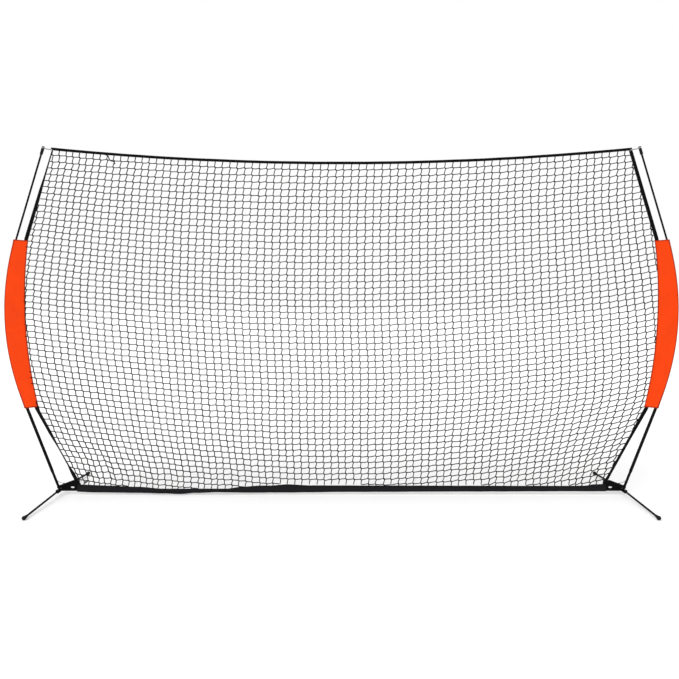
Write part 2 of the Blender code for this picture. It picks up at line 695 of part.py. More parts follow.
# ---------------------------------------------------------------- snap buttons
def snap_button(name, centre, outward, along, radius, proud, tube_radius, bore_radius):
    """A domed button on a folded spring leaf inside a tube. It slides in towards the tube's axis."""
    place = aimed(centre, outward, along)
    base_radius = radius + BUTTON_FLANGE
    base_top = sqrt((bore_radius - GAP) ** 2 - base_radius ** 2)
    base_low = base_top - BUTTON_BASE_THICKNESS
    profile = dome(radius, tube_radius + proud, BUTTON_DOME)
    profile += [(radius, base_top), (base_radius, base_top), (base_radius, base_low), (0, base_low)]
    item = turned(name, profile, STEEL_PLAIN, place, steps=SMALL_STEPS)

    half_width = LEAF_WIDTH / 2
    deepest = sqrt((bore_radius - GAP) ** 2 - half_width ** 2)
    far = proud + GAP - deepest                 # the leaf's free arm, clear when pressed
    start = -base_radius / 2
    upper = base_low + LEAF_THICKNESS / 2
    lower = upper - LEAF_THICKNESS
    fold = [(start, upper), (LEAF_REACH, upper), (LEAF_REACH + LEAF_THICKNESS, lower),
            (base_radius, far), (base_radius, far + LEAF_THICKNESS),
            (LEAF_REACH - LEAF_THICKNESS, lower), (start, lower)]
    leaf = extruded_mesh([(-half_width, y, z) for y, z in fold], (LEAF_WIDTH, 0, 0))
    boolean(item, helper(f"{name}_leaf", leaf, place), 'UNION')
    return item


def coupler_button(name):
    return snap_button(name, Vector((COUPLER_BUTTON_X, 0, BASE_HEIGHT)), UP, Vector((-1, 0, 0)),
                       SMALL_BUTTON_RADIUS, SMALL_BUTTON_PROUD, CROSSBAR_RADIUS, COUPLER_BORE)


def foot_button(name):
    return snap_button(name, Vector((FOOT_BUTTON_X, 0, BASE_HEIGHT)), BACK, Vector((1, 0, 0)),
                       SMALL_BUTTON_RADIUS, SMALL_BUTTON_PROUD, CROSSBAR_RADIUS, COUPLER_BORE)


def post_button(name):
    return snap_button(name, pole_point(POST_BUTTON), BACK, -pole_direction(0),
                       LARGE_BUTTON_RADIUS, LARGE_BUTTON_PROUD, POLE_RADIUS, POST_BORE)


# ---------------------------------------------------------------- poles
def pole_tube(name):
    """Steel tube over the foot's post, up to the reducer."""
    start, end = POST_VISIBLE + GAP, TUBE_TOP - GAP
    profile = [(POLE_RADIUS, end), (POLE_RADIUS, start), (POLE_BORE, start), (POLE_BORE, end)]
    item = turned(name, profile, STEEL_BLACK, pole_place(0), hollow=True)
    post_hole(item)
    round_off(item)
    return item


def pole_reducer(name):
    """Collar that holds the rod in the top of the steel tube."""
    chamfer = REDUCER_HEAD / 3
    plug = POLE_BORE - GAP
    profile = [(FERRULE_RADIUS, REDUCER_TOP), (POLE_RADIUS, REDUCER_TOP - chamfer), (POLE_RADIUS, TUBE_TOP),
               (plug, TUBE_TOP), (plug, REDUCER_BOTTOM), (ROD_HOLE, REDUCER_BOTTOM),
               (ROD_HOLE, REDUCER_TOP)]
    item = turned(name, profile, FIBREGLASS, pole_place(0), hollow=True)
    round_off(item)
    return item


def rod_lower(name):
    mesh = bent_rod_mesh(pole_stations(REDUCER_BOTTOM, ROD_JOINT - GAP / 2), ROD_RADIUS, True)
    item = piece(name, mesh, FIBREGLASS)
    round_off(item)
    return item


def rod_upper(name):
    mesh = bent_rod_mesh(pole_stations(ROD_JOINT + GAP / 2, POLE_END), ROD_RADIUS, True)
    item = piece(name, mesh, FIBREGLASS)
    round_off(item)
    return item


def rod_ferrule(name):
    """Steel ferrule over the joint between the two rods."""
    half = FERRULE_LENGTH / 2
    points = pole_stations(ROD_JOINT - half, ROD_JOINT + half)
    item = piece(name, bent_rod_mesh(points, FERRULE_RADIUS, False), STEEL_PLAIN)
    thicken(item, FERRULE_WALL, -1)
    round_off(item)
    return item


CAP_TOP = POLE_END + GAP + CAP_CROWN
GROOVE_TOP = CAP_TOP - CAP_GROOVE_DOWN
GROOVE_RADIUS = CAP_RADIUS - CAP_GROOVE_DEPTH


def tip_cap(name):
    """Plastic cap on the top of the pole, with a groove for the net's corner loop."""
    low = GROOVE_TOP - CAP_GROOVE_HEIGHT
    mouth = CAP_TOP - CAP_LENGTH
    inside = CAP_TOP - CAP_CROWN
    profile = dome(CAP_RADIUS, CAP_TOP, CAP_DOME)
    profile += [(CAP_RADIUS, GROOVE_TOP), (GROOVE_RADIUS, GROOVE_TOP), (GROOVE_RADIUS, low),
                (CAP_RADIUS, low), (CAP_RADIUS, mouth), (ROD_HOLE, mouth), (ROD_HOLE, inside),
                (0, inside)]
    local = [(radius, along - POLE_END) for radius, along in profile]
    item = turned(name, local, FIBREGLASS, pole_place(POLE_END))
    round_off(item)
    return item


# ---------------------------------------------------------------- net and bands
def net():
    """Knotted mesh: a sagging, bellied sheet whose cells are opened to leave its strands."""
    top = under_top_band(-NET_INSET)
    heights = row_heights(top)
    shape = bmesh.new()
    bmesh.ops.create_grid(shape, x_segments=NET_CELLS_ACROSS, y_segments=NET_ROWS, size=1.0)
    for vertex in shape.verts:
        across = vertex.co.x
        row = round((vertex.co.y + 1) / 2 * NET_ROWS)
        height = heights[row]
        half_width = band_edge_x(height, -NET_INSET)
        x = across * half_width
        if row == NET_ROWS:
            z = top_line(x) - TOP_BAND_WIDTH / 2 - GAP
        else:
            z = height - NET_TOP_SAG * row / NET_ROWS * (1 - across ** 2)
        share = (height - NET_BOTTOM) / (top - NET_BOTTOM)
        y = BELLY_DEPTH * sin(pi * share ** BELLY_LOW) ** 2 * (1 - across ** 2)
        vertex.co = (x, y, z)
    shape.normal_update()
    cells = list(shape.faces)
    bmesh.ops.inset_individual(shape, faces=cells, thickness=STRAND_WIDTH / 2, use_even_offset=True)
    bmesh.ops.delete(shape, geom=cells, context='FACES')
    item = piece("net", to_mesh(shape), TWINE)
    thicken(item, STRAND_THICKNESS, 0)


def top_band():
    """Folded webbing along the net's top edge, ending at the outer edges of the side bands."""
    end = band_edge_x(NET_TOP_HEIGHT, SIDE_BAND_WIDTH / 2)
    stations = [end * (2 * i / NET_CELLS_ACROSS - 1) for i in range(NET_CELLS_ACROSS + 1)]
    half = TOP_BAND_WIDTH / 2
    sections = [[(x, 0, top_line(x) - half), (x, 0, top_line(x) + half)] for x in stations]
    item = piece("top_band", lofted_mesh(sections, False), BLACK_WEBBING)
    thicken(item, BAND_THICKNESS, 0)


def side_band(name):
    """Webbing down the net's side, from the top band to the hem."""
    half = SIDE_BAND_WIDTH / 2
    tops = [under_top_band(side * half) for side in (-1, 1)]
    heights = row_heights(tops[1])
    stations = []
    for low, high in zip(heights, heights[1:]):
        stations += [low + (high - low) * i / BAND_PARTS for i in range(BAND_PARTS)]
    sections = [[(band_edge_x(z, -half), 0, z), (band_edge_x(z, half), 0, z)] for z in stations]
    sections.append([(band_edge_x(z, side * half), 0, z) for side, z in zip((-1, 1), tops)])
    item = piece(name, lofted_mesh(sections, False), BLACK_WEBBING)
    thicken(item, BAND_THICKNESS, 0)
    return item


def hem_section(x):
    """Drop-shaped loop round the crossbar that closes to a flat hem above it."""
    radius = CROSSBAR_RADIUS + GAP + HEM_FABRIC
    half = HEM_THICKNESS / 2
    rise = HEM_FLAT_FROM
    reach = sqrt(rise ** 2 + half ** 2)
    start = atan(rise / half) - atan(sqrt(reach ** 2 - radius ** 2) / radius)
    arc = [start - (pi + 2 * start) * i / HEM_PARTS for i in range(HEM_PARTS + 1)]
    lower = [(radius * cos(angle), radius * sin(angle)) for angle in arc]
    outline = [(half, rise)] + lower + [(-half, rise), (-half, HEM_TOP - BASE_HEIGHT),
                                        (half, HEM_TOP - BASE_HEIGHT)]
    return [(x, y, BASE_HEIGHT + z) for y, z in outline]


def bottom_sleeve():
    sections = [hem_section(x) for x in (-HEM_END, HEM_END)]
    item = piece("bottom_sleeve", lofted_mesh(sections, True), BLACK_FABRIC)
    thicken(item, HEM_FABRIC, -1)


# ---------------------------------------------------------------- pole sleeves
def band_distance(point, slope):
    """From a point on the pole's axis inwards to the side band's middle, up a slope."""
    distance = spread(point.z)
    for _ in range(ROUNDS):
        distance = (point.x - band_x(point.z + distance * sin(slope))) / cos(slope)
    return distance


def sleeve_section(along):
    """A belt round the pole and round the side band's inner edge, nearly level."""
    point, lean = pole_point(along), pole_lean(along)
    slope = lean * SLEEVE_END_LEAN
    inward = Vector((-cos(slope), 0, sin(slope)))
    narrowed = min(max((along - POLE_STRAIGHT - SLEEVE_FABRIC) / SLEEVE_NARROWS, 0), 1)
    at_pole = POLE_RADIUS + GAP + (FERRULE_RADIUS + SLEEVE_EASE - POLE_RADIUS) * narrowed
    at_band = SLEEVE_NOSE
    skew = cos(band_lean(point.z) - slope)
    reach = band_distance(point, slope) + SIDE_BAND_WIDTH / 2 / skew
    tilt = (at_pole - at_band) / reach
    outline = []
    for i in range(SLEEVE_POLE_PARTS + 1):
        angle = pi / 2 - tilt + (pi + 2 * tilt) * i / SLEEVE_POLE_PARTS
        outline.append((at_pole * cos(angle) / cos(lean - slope), at_pole * sin(angle)))
    for i in range(SLEEVE_BAND_PARTS + 1):
        angle = -pi / 2 + tilt + (pi - 2 * tilt) * i / SLEEVE_BAND_PARTS
        outline.append((reach + at_band * cos(angle), at_band * sin(angle)))
    return [point + inward * u + Vector((0, v, 0)) for u, v in outline]


def pole_sleeve(name):
    """Coloured fabric sleeve that ties the side band to the bowed part of the pole."""
    start = REDUCER_TOP + SLEEVE_FABRIC
    step = (SLEEVE_HIGH - start) / SLEEVE_STATIONS
    stations = [SLEEVE_LOW] + [start + step * i for i in range(SLEEVE_STATIONS + 1)]
    sections = [sleeve_section(along) for along in stations]
    item = piece(name, lofted_mesh(sections, True), ORANGE_FABRIC)
    thicken(item, SLEEVE_FABRIC, 1)
    return item


# ---------------------------------------------------------------- corners
def flat_mesh(outline, thickness):
    """A plate in the plane Y = 0 with the outline's (x, z) points."""
    return extruded_mesh([(x, -thickness / 2, z) for x, z in outline], (0, thickness, 0))


def ring(name, inner, wall, low, high, finish, place):
    outer = inner + wall
    profile = [(outer, high), (outer, low), (inner, low), (inner, high)]
    return turned(name, profile, finish, place, hollow=True)


def gusset_upper_edge(share):
    """A point on the gusset's upper edge: 0 at the post's ring, 1 at the side band."""
    ring_top = gusset_ring_side(GUSSET_RING_FROM + GUSSET_RING_HEIGHT)
    corner_x = band_edge_x(GUSSET_TOP, SIDE_BAND_WIDTH / 2) + GAP
    corner = Vector((corner_x, 0, GUSSET_TOP))
    return ring_top.lerp(corner, share)


def gusset_ring_side(along):
    """The inner side of the gusset's ring, in the middle of its wall."""
    inward = Vector((-cos(POLE_LEAN), 0, sin(POLE_LEAN)))
    return pole_point(along) + inward * (POST_RADIUS + GAP + GUSSET_RING_WALL / 2)


def corner_gusset(name):
    """Triangle of webbing from the net's bottom corner to a ring round the foot's post."""
    ring_end = GUSSET_RING_FROM + GUSSET_RING_HEIGHT
    item = ring(name, POST_RADIUS + GAP, GUSSET_RING_WALL, GUSSET_RING_FROM, ring_end,
                BLACK_WEBBING, pole_place(0))
    low = BASE_HEIGHT + CROSSBAR_RADIUS + GAP
    left = HEM_END + GAP
    half = SIDE_BAND_WIDTH / 2
    ring_low = gusset_ring_side(GUSSET_RING_FROM)
    ring_top = gusset_upper_edge(0)
    corner = gusset_upper_edge(1)
    turn_x = CROSSBAR_END - FLANGE_OUTER
    outline = [(left, low), (turn_x, low), (ring_low.x, ring_low.z), (ring_top.x, ring_top.z),
               (corner.x, corner.z), (band_edge_x(NET_BOTTOM, half) + GAP, NET_BOTTOM),
               (left, HEM_TOP)]
    web = helper(f"{name}_web", flat_mesh(outline, GUSSET_THICKNESS))
    boolean(item, web, 'UNION')
    eyelet = rod_mesh(EYELET_LENGTH / 2, -GUSSET_THICKNESS, GUSSET_THICKNESS)
    flatten = Matrix.Scale(EYELET_HEIGHT / EYELET_LENGTH, 4, (0, 0, 1))
    eyelet.transform(flatten @ Matrix.Rotation(pi / 2, 4, 'X'))
    place = Matrix.Translation((HEM_END + EYELET_IN, 0, low + EYELET_UP))
    boolean(item, helper(f"{name}_eyelet", eyelet, place), 'DIFFERENCE')
    return item


def corner_loop(name):
    """Thin strap from the net's top corner to a loop in the cap's groove."""
    middle = GROOVE_TOP - CAP_GROOVE_HEIGHT / 2
    half = LOOP_WIDTH / 2
    place = pole_place(middle)
    item = ring(name, GROOVE_RADIUS + GAP, LOOP_THICKNESS, -half, half, BLACK_WEBBING, place)
    inward = Vector((-cos(TIP_LEAN), 0, -sin(TIP_LEAN)))
    start = pole_point(middle) + inward * (GROOVE_RADIUS + GAP + LOOP_THICKNESS / 2)
    end = Vector((band_edge_x(NET_TOP_HEIGHT, SIDE_BAND_WIDTH / 2) + GAP, 0, NET_TOP_HEIGHT))
    outline = [(start.x, start.z - half), (start.x, start.z + half), (end.x, end.z + half),
               (end.x, end.z - half)]
    strap = helper(f"{name}_strap", flat_mesh(outline, BAND_THICKNESS))
    boolean(item, strap, 'UNION')
    return item


def tie_cord(name):
    """Elastic cord looped round the foot's post and knotted at the gusset's upper edge."""
    inner = POST_RADIUS + GAP
    half = TIE_DIAMETER / 2
    item = ring(name, inner, TIE_DIAMETER, TIE_ALONG_POST - half, TIE_ALONG_POST + half,
                BLACK_WEBBING, pole_place(0))
    inward = Vector((-cos(POLE_LEAN), 0, sin(POLE_LEAN)))
    start = pole_point(TIE_ALONG_POST) + inward * (inner + half)
    rise = (gusset_upper_edge(1) - gusset_upper_edge(0)).normalized()
    above = Vector((rise.z, 0, -rise.x))
    knot = gusset_upper_edge(TIE_SHARE) + above * (TIE_KNOT_RADIUS + GAP)
    middle = start.lerp(knot, 0.5) - Vector((0, 0, TIE_SAG))
    stretch = bent_rod_mesh([start, middle, knot], half, True)
    boolean(item, helper(f"{name}_stretch", stretch), 'UNION')
    shape = bmesh.new()
    bmesh.ops.create_uvsphere(shape, u_segments=SMALL_STEPS, v_segments=HEX, radius=TIE_KNOT_RADIUS)
    ball = helper(f"{name}_knot", to_mesh(shape), Matrix.Translation(knot))
    boolean(item, ball, 'UNION')
    return item


def hem_toggle():
    """Barrel toggle on a short cord at the hem's left end, in front of the net's first cell."""
    foot = Vector((-HEM_END + TOGGLE_FROM_END, 0, NET_BOTTOM + STRAND_WIDTH / 2 + GAP))
    place = aimed(foot, Vector((sin(TOGGLE_LEAN), 0, cos(TOGGLE_LEAN))))
    start = TOGGLE_CORD
    end = start + TOGGLE_LENGTH
    face = TOGGLE_RADIUS - TOGGLE_EDGE
    profile = [(0, end), (face, end), (TOGGLE_RADIUS, end - TOGGLE_EDGE),
               (TOGGLE_WAIST, (start + end) / 2), (TOGGLE_RADIUS, start + TOGGLE_EDGE),
               (face, start), (0, start)]
    item = turned("hem_toggle", profile, GREY_PLASTIC, place)
    clear_of_net = TOGGLE_CORD_RADIUS * tan(TOGGLE_LEAN)
    cord = rod_mesh(TOGGLE_CORD_RADIUS, clear_of_net, start + TOGGLE_EDGE, CORD_STEPS)
    boolean(item, helper("hem_toggle_cord", cord, place), 'UNION')


# ---------------------------------------------------------------- assembly
def build():
    clear_scene()
    crossbar_middle()
    left_and_right(crossbar_side, "crossbar", STEEL_BLACK)
    left_and_right(foot_bracket, "foot_bracket", STEEL_BLACK)
    four_corners(leg, "leg", STEEL_BLACK)
    four_corners(leg_tip, "leg_tip", RUBBER)
    four_corners(pivot_bolt, "pivot_bolt", STEEL_PLAIN)
    four_corners(pivot_nut, "pivot_nut", STEEL_PLAIN)
    left_and_right(coupler_button, "coupler_button", STEEL_PLAIN)
    left_and_right(foot_button, "foot_button", STEEL_PLAIN)
    left_and_right(post_button, "post_button", STEEL_PLAIN)
    left_and_right(pole_tube, "pole_tube", STEEL_BLACK)
    left_and_right(pole_reducer, "pole_reducer", FIBREGLASS)
    left_and_right(rod_lower, "rod_lower", FIBREGLASS)
    left_and_right(rod_ferrule, "rod_ferrule", STEEL_PLAIN)
    left_and_right(rod_upper, "rod_upper", FIBREGLASS)
    left_and_right(tip_cap, "tip_cap", FIBREGLASS)
    net()
    top_band()
    left_and_right(side_band, "side_band", BLACK_WEBBING)
    bottom_sleeve()
    left_and_right(pole_sleeve, "pole_sleeve", ORANGE_FABRIC)
    left_and_right(corner_gusset, "corner_gusset", BLACK_WEBBING)
    left_and_right(corner_loop, "corner_loop", BLACK_WEBBING)
    left_and_right(tie_cord, "tie_cord", BLACK_WEBBING)
    hem_toggle()


if __name__ == "__main__":
    build()
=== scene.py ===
"""Looks of the portable barrier net: knotted mesh, sewn bands and sleeves, coated steel.

Metres, +Z up, X along the crossbar, -Y towards the player. Right-hand pieces are worked out from
the frame, and side = -1 gives the left-hand ones.
"""

from math import atan2, ceil, cos, exp, pi, radians, sin

import bmesh
import bpy
import numpy as np
from bpy.props import FloatProperty, FloatVectorProperty, IntProperty, PointerProperty
from mathutils import Matrix, Vector, noise


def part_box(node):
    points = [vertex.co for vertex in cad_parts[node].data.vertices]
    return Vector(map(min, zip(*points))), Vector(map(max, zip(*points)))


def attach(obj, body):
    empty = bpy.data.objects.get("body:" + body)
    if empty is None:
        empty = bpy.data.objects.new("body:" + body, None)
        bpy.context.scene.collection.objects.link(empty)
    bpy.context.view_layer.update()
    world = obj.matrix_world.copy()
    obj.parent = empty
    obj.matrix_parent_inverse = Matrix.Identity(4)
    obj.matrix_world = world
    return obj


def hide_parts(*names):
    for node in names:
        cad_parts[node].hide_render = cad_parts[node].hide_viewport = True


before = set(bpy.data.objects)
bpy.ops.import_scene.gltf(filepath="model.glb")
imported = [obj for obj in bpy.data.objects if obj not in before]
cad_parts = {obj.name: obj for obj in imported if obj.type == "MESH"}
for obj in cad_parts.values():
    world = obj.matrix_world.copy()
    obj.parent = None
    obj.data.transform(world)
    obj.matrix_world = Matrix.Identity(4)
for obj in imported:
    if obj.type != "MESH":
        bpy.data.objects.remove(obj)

bl_info = {
    "name": "Barrier Net",
    "version": (1, 0, 0),
    "blender": (4, 5, 0),
    "location": "View3D > Sidebar > Barrier Net",
    "description": "Dresses the frame of a portable barrier net with its mesh, fabric and finishes",
    "category": "Object",
}

FRAME_BODY = "net_frame"
MM = 0.001
SIDES = ((-1, "left"), (1, "right"))
FRONT = Vector((0, -1, 0))
BACK = Vector((0, 1, 0))
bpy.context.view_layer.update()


# ---------------------------------------------------------------- lines read from the frame
def node_points(name):
    return np.array([vertex.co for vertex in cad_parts[name].data.vertices])


def band_edges(name):
    """Inner and outer edge of the right side band, each a list of (z, x) from the hem up."""
    points = node_points(name)
    front = np.unique(points[points[:, 1] < 0][:, [2, 0]].round(5), axis=0)
    pairs = front.reshape(-1, 2, 2)
    return pairs[:, 0], pairs[:, 1]


def top_band_line():
    """Middle of the top band as a list of (x, z)."""
    points = node_points("top_band")
    front = np.unique(points[points[:, 1] < 0][:, [0, 2]].round(5), axis=0)
    return front.reshape(-1, 2, 2).mean(axis=1)


def pole_line():
    """Middle of the right pole as a list of (z, x), from the points on its two flanks."""
    found = []
    for name in ("pole_tube_right", "rod_lower_right", "rod_upper_right"):
        points = node_points(name)
        widest = np.abs(points[:, 1]).max()
        flank = points[np.abs(points[:, 1]) > 0.99 * widest]
        found.append(np.unique(flank[:, [2, 0]].round(5), axis=0))
    line = np.concatenate(found)
    return line[np.argsort(line[:, 0])]


BAND_INNER, BAND_OUTER = band_edges("side_band_right")
TOP_LINE = top_band_line()
POLE_LINE = pole_line()
HEM_LOW, HEM_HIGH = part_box("bottom_sleeve")
BAR_LOW, BAR_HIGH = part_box("crossbar_middle")
BAR_Z = (BAR_LOW.z + BAR_HIGH.z) / 2
BAR_RADIUS = BAR_HIGH.y
HEM_END = HEM_HIGH.x
CORNER_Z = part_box("top_band")[1].z
BAND_WIDTH = float(BAND_OUTER[0][1] - BAND_INNER[0][1])


def inner_x(z):
    return np.interp(z, BAND_INNER[:, 0], BAND_INNER[:, 1])


def outer_x(z):
    return np.interp(z, BAND_OUTER[:, 0], BAND_OUTER[:, 1])


def middle_x(z):
    return (inner_x(z) + outer_x(z)) / 2


def top_z(x):
    return np.interp(x, TOP_LINE[:, 0], TOP_LINE[:, 1])


def pole_x(z):
    return np.interp(z, POLE_LINE[:, 0], POLE_LINE[:, 1])


def smooth_steps(x, marks):
    """A value that eases from mark to mark; the marks are (x, value), in order."""
    if x <= marks[0][0]:
        return marks[0][1]
    for (x0, v0), (x1, v1) in zip(marks, marks[1:]):
        if x <= x1:
            share = (x - x0) / (x1 - x0)
            return v0 + (v1 - v0) * share * share * (3 - 2 * share)
    return marks[-1][1]


# ---------------------------------------------------------------- settings
def linear(code):
    """An sRGB hex colour as linear RGBA."""
    parts = [int(code[i:i + 2], 16) / 255 for i in (1, 3, 5)]
    return [p / 12.92 if p <= 0.04045 else ((p + 0.055) / 1.055) ** 2.4 for p in parts] + [1.0]


def measure(name, description, default):
    """A length setting, in metres."""
    return FloatProperty(name=name, description=description, default=default,
                         unit='LENGTH', subtype='DISTANCE')


def paint(name, description, code):
    """A colour setting."""
    return FloatVectorProperty(name=name, description=description, default=linear(code),
                               subtype='COLOR', size=4)


class NetSizes(bpy.types.PropertyGroup):
    """Sizes of the knotted mesh and of the sewing."""
    rows: IntProperty(name="Rows of cells", default=52,
                      description="Cells from the hem to the top band at the middle")
    columns: IntProperty(name="Columns each side", default=42,
                         description="Twine lines from the middle to a side")
    pitch: measure("Column pitch", "Width of a cell in the middle of the net", 0.0513)
    twine_down: measure("Upright twine", "Diameter of the twine that hangs down", 0.0068)
    twine_across: measure("Cross twine", "Diameter of the twine that runs across", 0.0063)
    sag_low: measure("Sag at the hem", "Fall of the lowest row from a side to the middle", 0.180)
    sag_high: measure("Sag at the top", "Fall of the top row from a side to the middle", 0.098)
    belly: measure("Belly", "How far the net bags backwards", 0.066)
    stitch: measure("Stitch length", "Length of one machine stitch", 0.0034)


class NetColours(bpy.types.PropertyGroup):
    """Colours of the sewn goods and of the frame."""
    sleeve: paint("Pole sleeves", "Oxford fabric of the pole sleeves", "#FF4408")
    webbing: paint("Webbing", "Bands and corner gussets", "#070708")
    hem: paint("Hem", "Sleeve along the bottom", "#111113")
    twine: paint("Twine", "Twine of the mesh", "#0D0D0E")
    coating: paint("Powder coat", "Coating of the steel frame", "#070708")


class Studio(bpy.types.PropertyGroup):
    """Camera and light."""
    distance: measure("Camera distance", "From the camera to the net's plane", 4.3)
    height: measure("Camera height", "Height of the camera above the floor", 1.289)
    lens: FloatProperty(name="Lens", description="Focal length of the camera in millimetres",
                        default=35.1, unit='CAMERA')
    sky: FloatProperty(name="Sky", description="Strength of the light from all around", default=0.74)
    sun: FloatProperty(name="Softbox", description="Strength of the large soft lamp", default=1.70)


# ---------------------------------------------------------------- helpers
def activate(item):
    """Selects one object alone and makes it active."""
    bpy.ops.object.select_all(action='DESELECT')
    item.select_set(True)
    bpy.context.view_layer.objects.active = item


def linked(name, data):
    """A new object in the scene."""
    item = bpy.data.objects.new(name, data)
    bpy.context.scene.collection.objects.link(item)
    return item


def add_piece(name, mesh, finish):
    """A new piece at the origin, with its finish, that rides on the frame."""
    return settle(linked(name, mesh), finish)


def settle(item, finish, smooth=35):
    """Gives a shaped piece its finish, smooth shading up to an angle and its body."""
    item.data.materials.clear()
    item.data.materials.append(finish)
    activate(item)
    bpy.ops.object.transform_apply(location=True, rotation=True, scale=True)
    bpy.ops.object.shade_smooth_by_angle(angle=radians(smooth))
    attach(item, FRAME_BODY)
    return item


def give_wall(item, thickness, offset):
    """Turns a single surface into cloth of a thickness."""
    wall = item.modifiers.new("wall", 'SOLIDIFY')
    wall.thickness = thickness
    wall.offset = offset
    activate(item)
    bpy.ops.object.modifier_apply(modifier=wall.name)


def mesh_from(name, points, faces):
    """A mesh from arrays of points and equal-sided faces."""
    mesh = bpy.data.meshes.new(name)
    mesh.from_pydata(np.asarray(points, float).tolist(), [], np.asarray(faces).tolist())
    mesh.validate()
    return mesh


def outward(mesh):
    """Turns the faces of a closed mesh outwards."""
    shape = bmesh.new()
    shape.from_mesh(mesh)
    bmesh.ops.recalc_face_normals(shape, faces=shape.faces[:])
    shape.to_mesh(mesh)
    shape.free()
    return mesh


def loft(name, sections, closed, capped, across, along):
    """Quads between equal sections of points. across and along are the UV distances in metres."""
    sections = np.asarray(sections, float)
    count, size = sections.shape[:2]
    steps = size if closed else size - 1
    faces, uvs = [], []
    for i in range(count - 1):
        for j in range(steps):
            k = (j + 1) % size
            faces.append((i * size + j, i * size + k, (i + 1) * size + k, (i + 1) * size + j))
            uvs += [(across[j], along[i]), (across[j + 1], along[i]),
                    (across[j + 1], along[i + 1]), (across[j], along[i + 1])]
    mesh = bpy.data.meshes.new(name)
    ends = []
    if capped:
        ends = [tuple(range(size)), tuple(range((count - 1) * size, count * size))]
        for end in ends:
            uvs += [(across[j % size], 0.0) for j in range(size)]
    mesh.from_pydata(sections.reshape(-1, 3).tolist(), [], faces + ends)
    layer = mesh.uv_layers.new(name="UVMap")
    layer.data.foreach_set("uv", np.asarray(uvs, np.float32).ravel())
    return mesh


def distances(points):
    """Distance along a line of points at each of them."""
    gaps = np.linalg.norm(np.diff(np.asarray(points, float), axis=0), axis=1)
    return np.concatenate([[0.0], np.cumsum(gaps)])


STRAP_OUTLINE = [(-1, -0.55), (-0.93, -1), (-0.35, -0.86), (0.35, -0.86), (0.93, -1), (1, -0.55),
                 (1, 0.55), (0.93, 1), (0.35, 0.86), (-0.35, 0.86), (-0.93, 1), (-1, 0.55)]


def strap_mesh(name, centres, acrosses, normals, width, thickness):
    """Webbing with thick selvedges, along a line of centres."""
    outline = [(u * width / 2, v * thickness / 2) for u, v in STRAP_OUTLINE]
    sections = [[centre + across * u + normal * v for u, v in outline]
                for centre, across, normal in zip(centres, acrosses, normals)]
    across = distances(outline + outline[:1])
    return outward(loft(name, sections, True, True, across, distances(centres)))


def tube_object(name, lines, diameter, resolution=1):
    """Tubes along lines of (point, share of the diameter), as one mesh object."""
    curve = bpy.data.curves.new(name, 'CURVE')
    curve.dimensions = '3D'
    curve.bevel_depth = diameter / 2
    curve.bevel_resolution = resolution
    curve.use_fill_caps = True
    for line in lines:
        spline = curve.splines.new('POLY')
        spline.points.add(len(line) - 1)
        spline.points.foreach_set("co", [c for point, _ in line for c in (*point, 1.0)])
        spline.points.foreach_set("radius", [share for _, share in line])
    activate(linked(name, curve))
    bpy.ops.object.convert(target='MESH')
    return bpy.context.view_layer.objects.active


STITCH_WIDTH = 0.8 * MM
STITCH_GAP = 1.2 * MM


def sew(name, lines, thread, gap=STITCH_GAP):
    """A piece of machine stitches along lines of (point, outward normal), half sunk in the fabric."""
    length = bpy.context.scene.net_sizes.stitch
    points, faces = [], []
    for line in lines:
        places = np.array([p for p, _ in line], float)
        outs = np.array([n for _, n in line], float)
        along = distances(places)
        count = int(along[-1] // (length + gap))
        for i in range(count):
            begin = i * (length + gap) + gap / 2
            a, b = [np.array([np.interp(s, along, places[:, k]) for k in range(3)])
                    for s in (begin, begin + length)]
            out = np.array([np.interp(begin, along, outs[:, k]) for k in range(3)])
            side = np.cross(b - a, out)
            side /= max(np.linalg.norm(side), 1e-9)
            middle = (a + b) / 2
            start = len(points)
            points += [a, middle + side * STITCH_WIDTH / 2, b, middle - side * STITCH_WIDTH / 2,
                       middle + out * STITCH_WIDTH * 0.55, middle - out * STITCH_WIDTH * 0.3]
            for j in range(4):
                k = (j + 1) % 4
                faces.append((start + j, start + k, start + 4))
                faces.append((start + k, start + j, start + 5))
    return add_piece(name, outward(mesh_from(name, points, faces)), thread)


# ---------------------------------------------------------------- materials
def add_node(tree, kind, inputs, **settings):
    """Adds a node with its settings; an input is a value or the socket that feeds it."""
    node = tree.nodes.new(kind)
    for key, value in settings.items():
        setattr(node, key, value)
    for key, value in inputs.items():
        if isinstance(value, bpy.types.NodeSocket):
            tree.links.new(value, node.inputs[key])
        else:
            node.inputs[key].default_value = value
    return node


def start_finish(name, **sockets):
    """A material with its shader's constant sockets set."""
    material = bpy.data.materials.new(name)
    material.use_nodes = True
    shader = material.node_tree.nodes["Principled BSDF"]
    for key, value in sockets.items():
        shader.inputs[key.replace("_", " ")].default_value = value
    return material, material.node_tree, shader


def placed(tree, output="Object", stretch=(1, 1, 1)):
    """Object or UV coordinates in metres, stretched."""
    place = add_node(tree, 'ShaderNodeTexCoord', {})
    return add_node(tree, 'ShaderNodeMapping', {"Vector": place.outputs[output],
                                                "Scale": stretch}).outputs[0]


def speckle(tree, size, detail=3.0, rough=0.6, stretch=(1, 1, 1)):
    """A cloudy pattern on the object, whose grains are about size metres wide."""
    return add_node(tree, 'ShaderNodeTexNoise',
                    {"Vector": placed(tree, "Object", stretch), "Scale": 1 / size,
                     "Detail": detail, "Roughness": rough}).outputs[0]


def blend_colour(tree, shader, factor, low, high, darkest, lightest):
    """Base colour between two tones, as a factor goes from low to high."""
    spread = add_node(tree, 'ShaderNodeMapRange', {0: factor, 1: low, 2: high})
    mix = add_node(tree, 'ShaderNodeMix', {0: spread.outputs[0], 6: darkest, 7: lightest}, data_type='RGBA')
    tree.links.new(mix.outputs[2], shader.inputs["Base Color"])


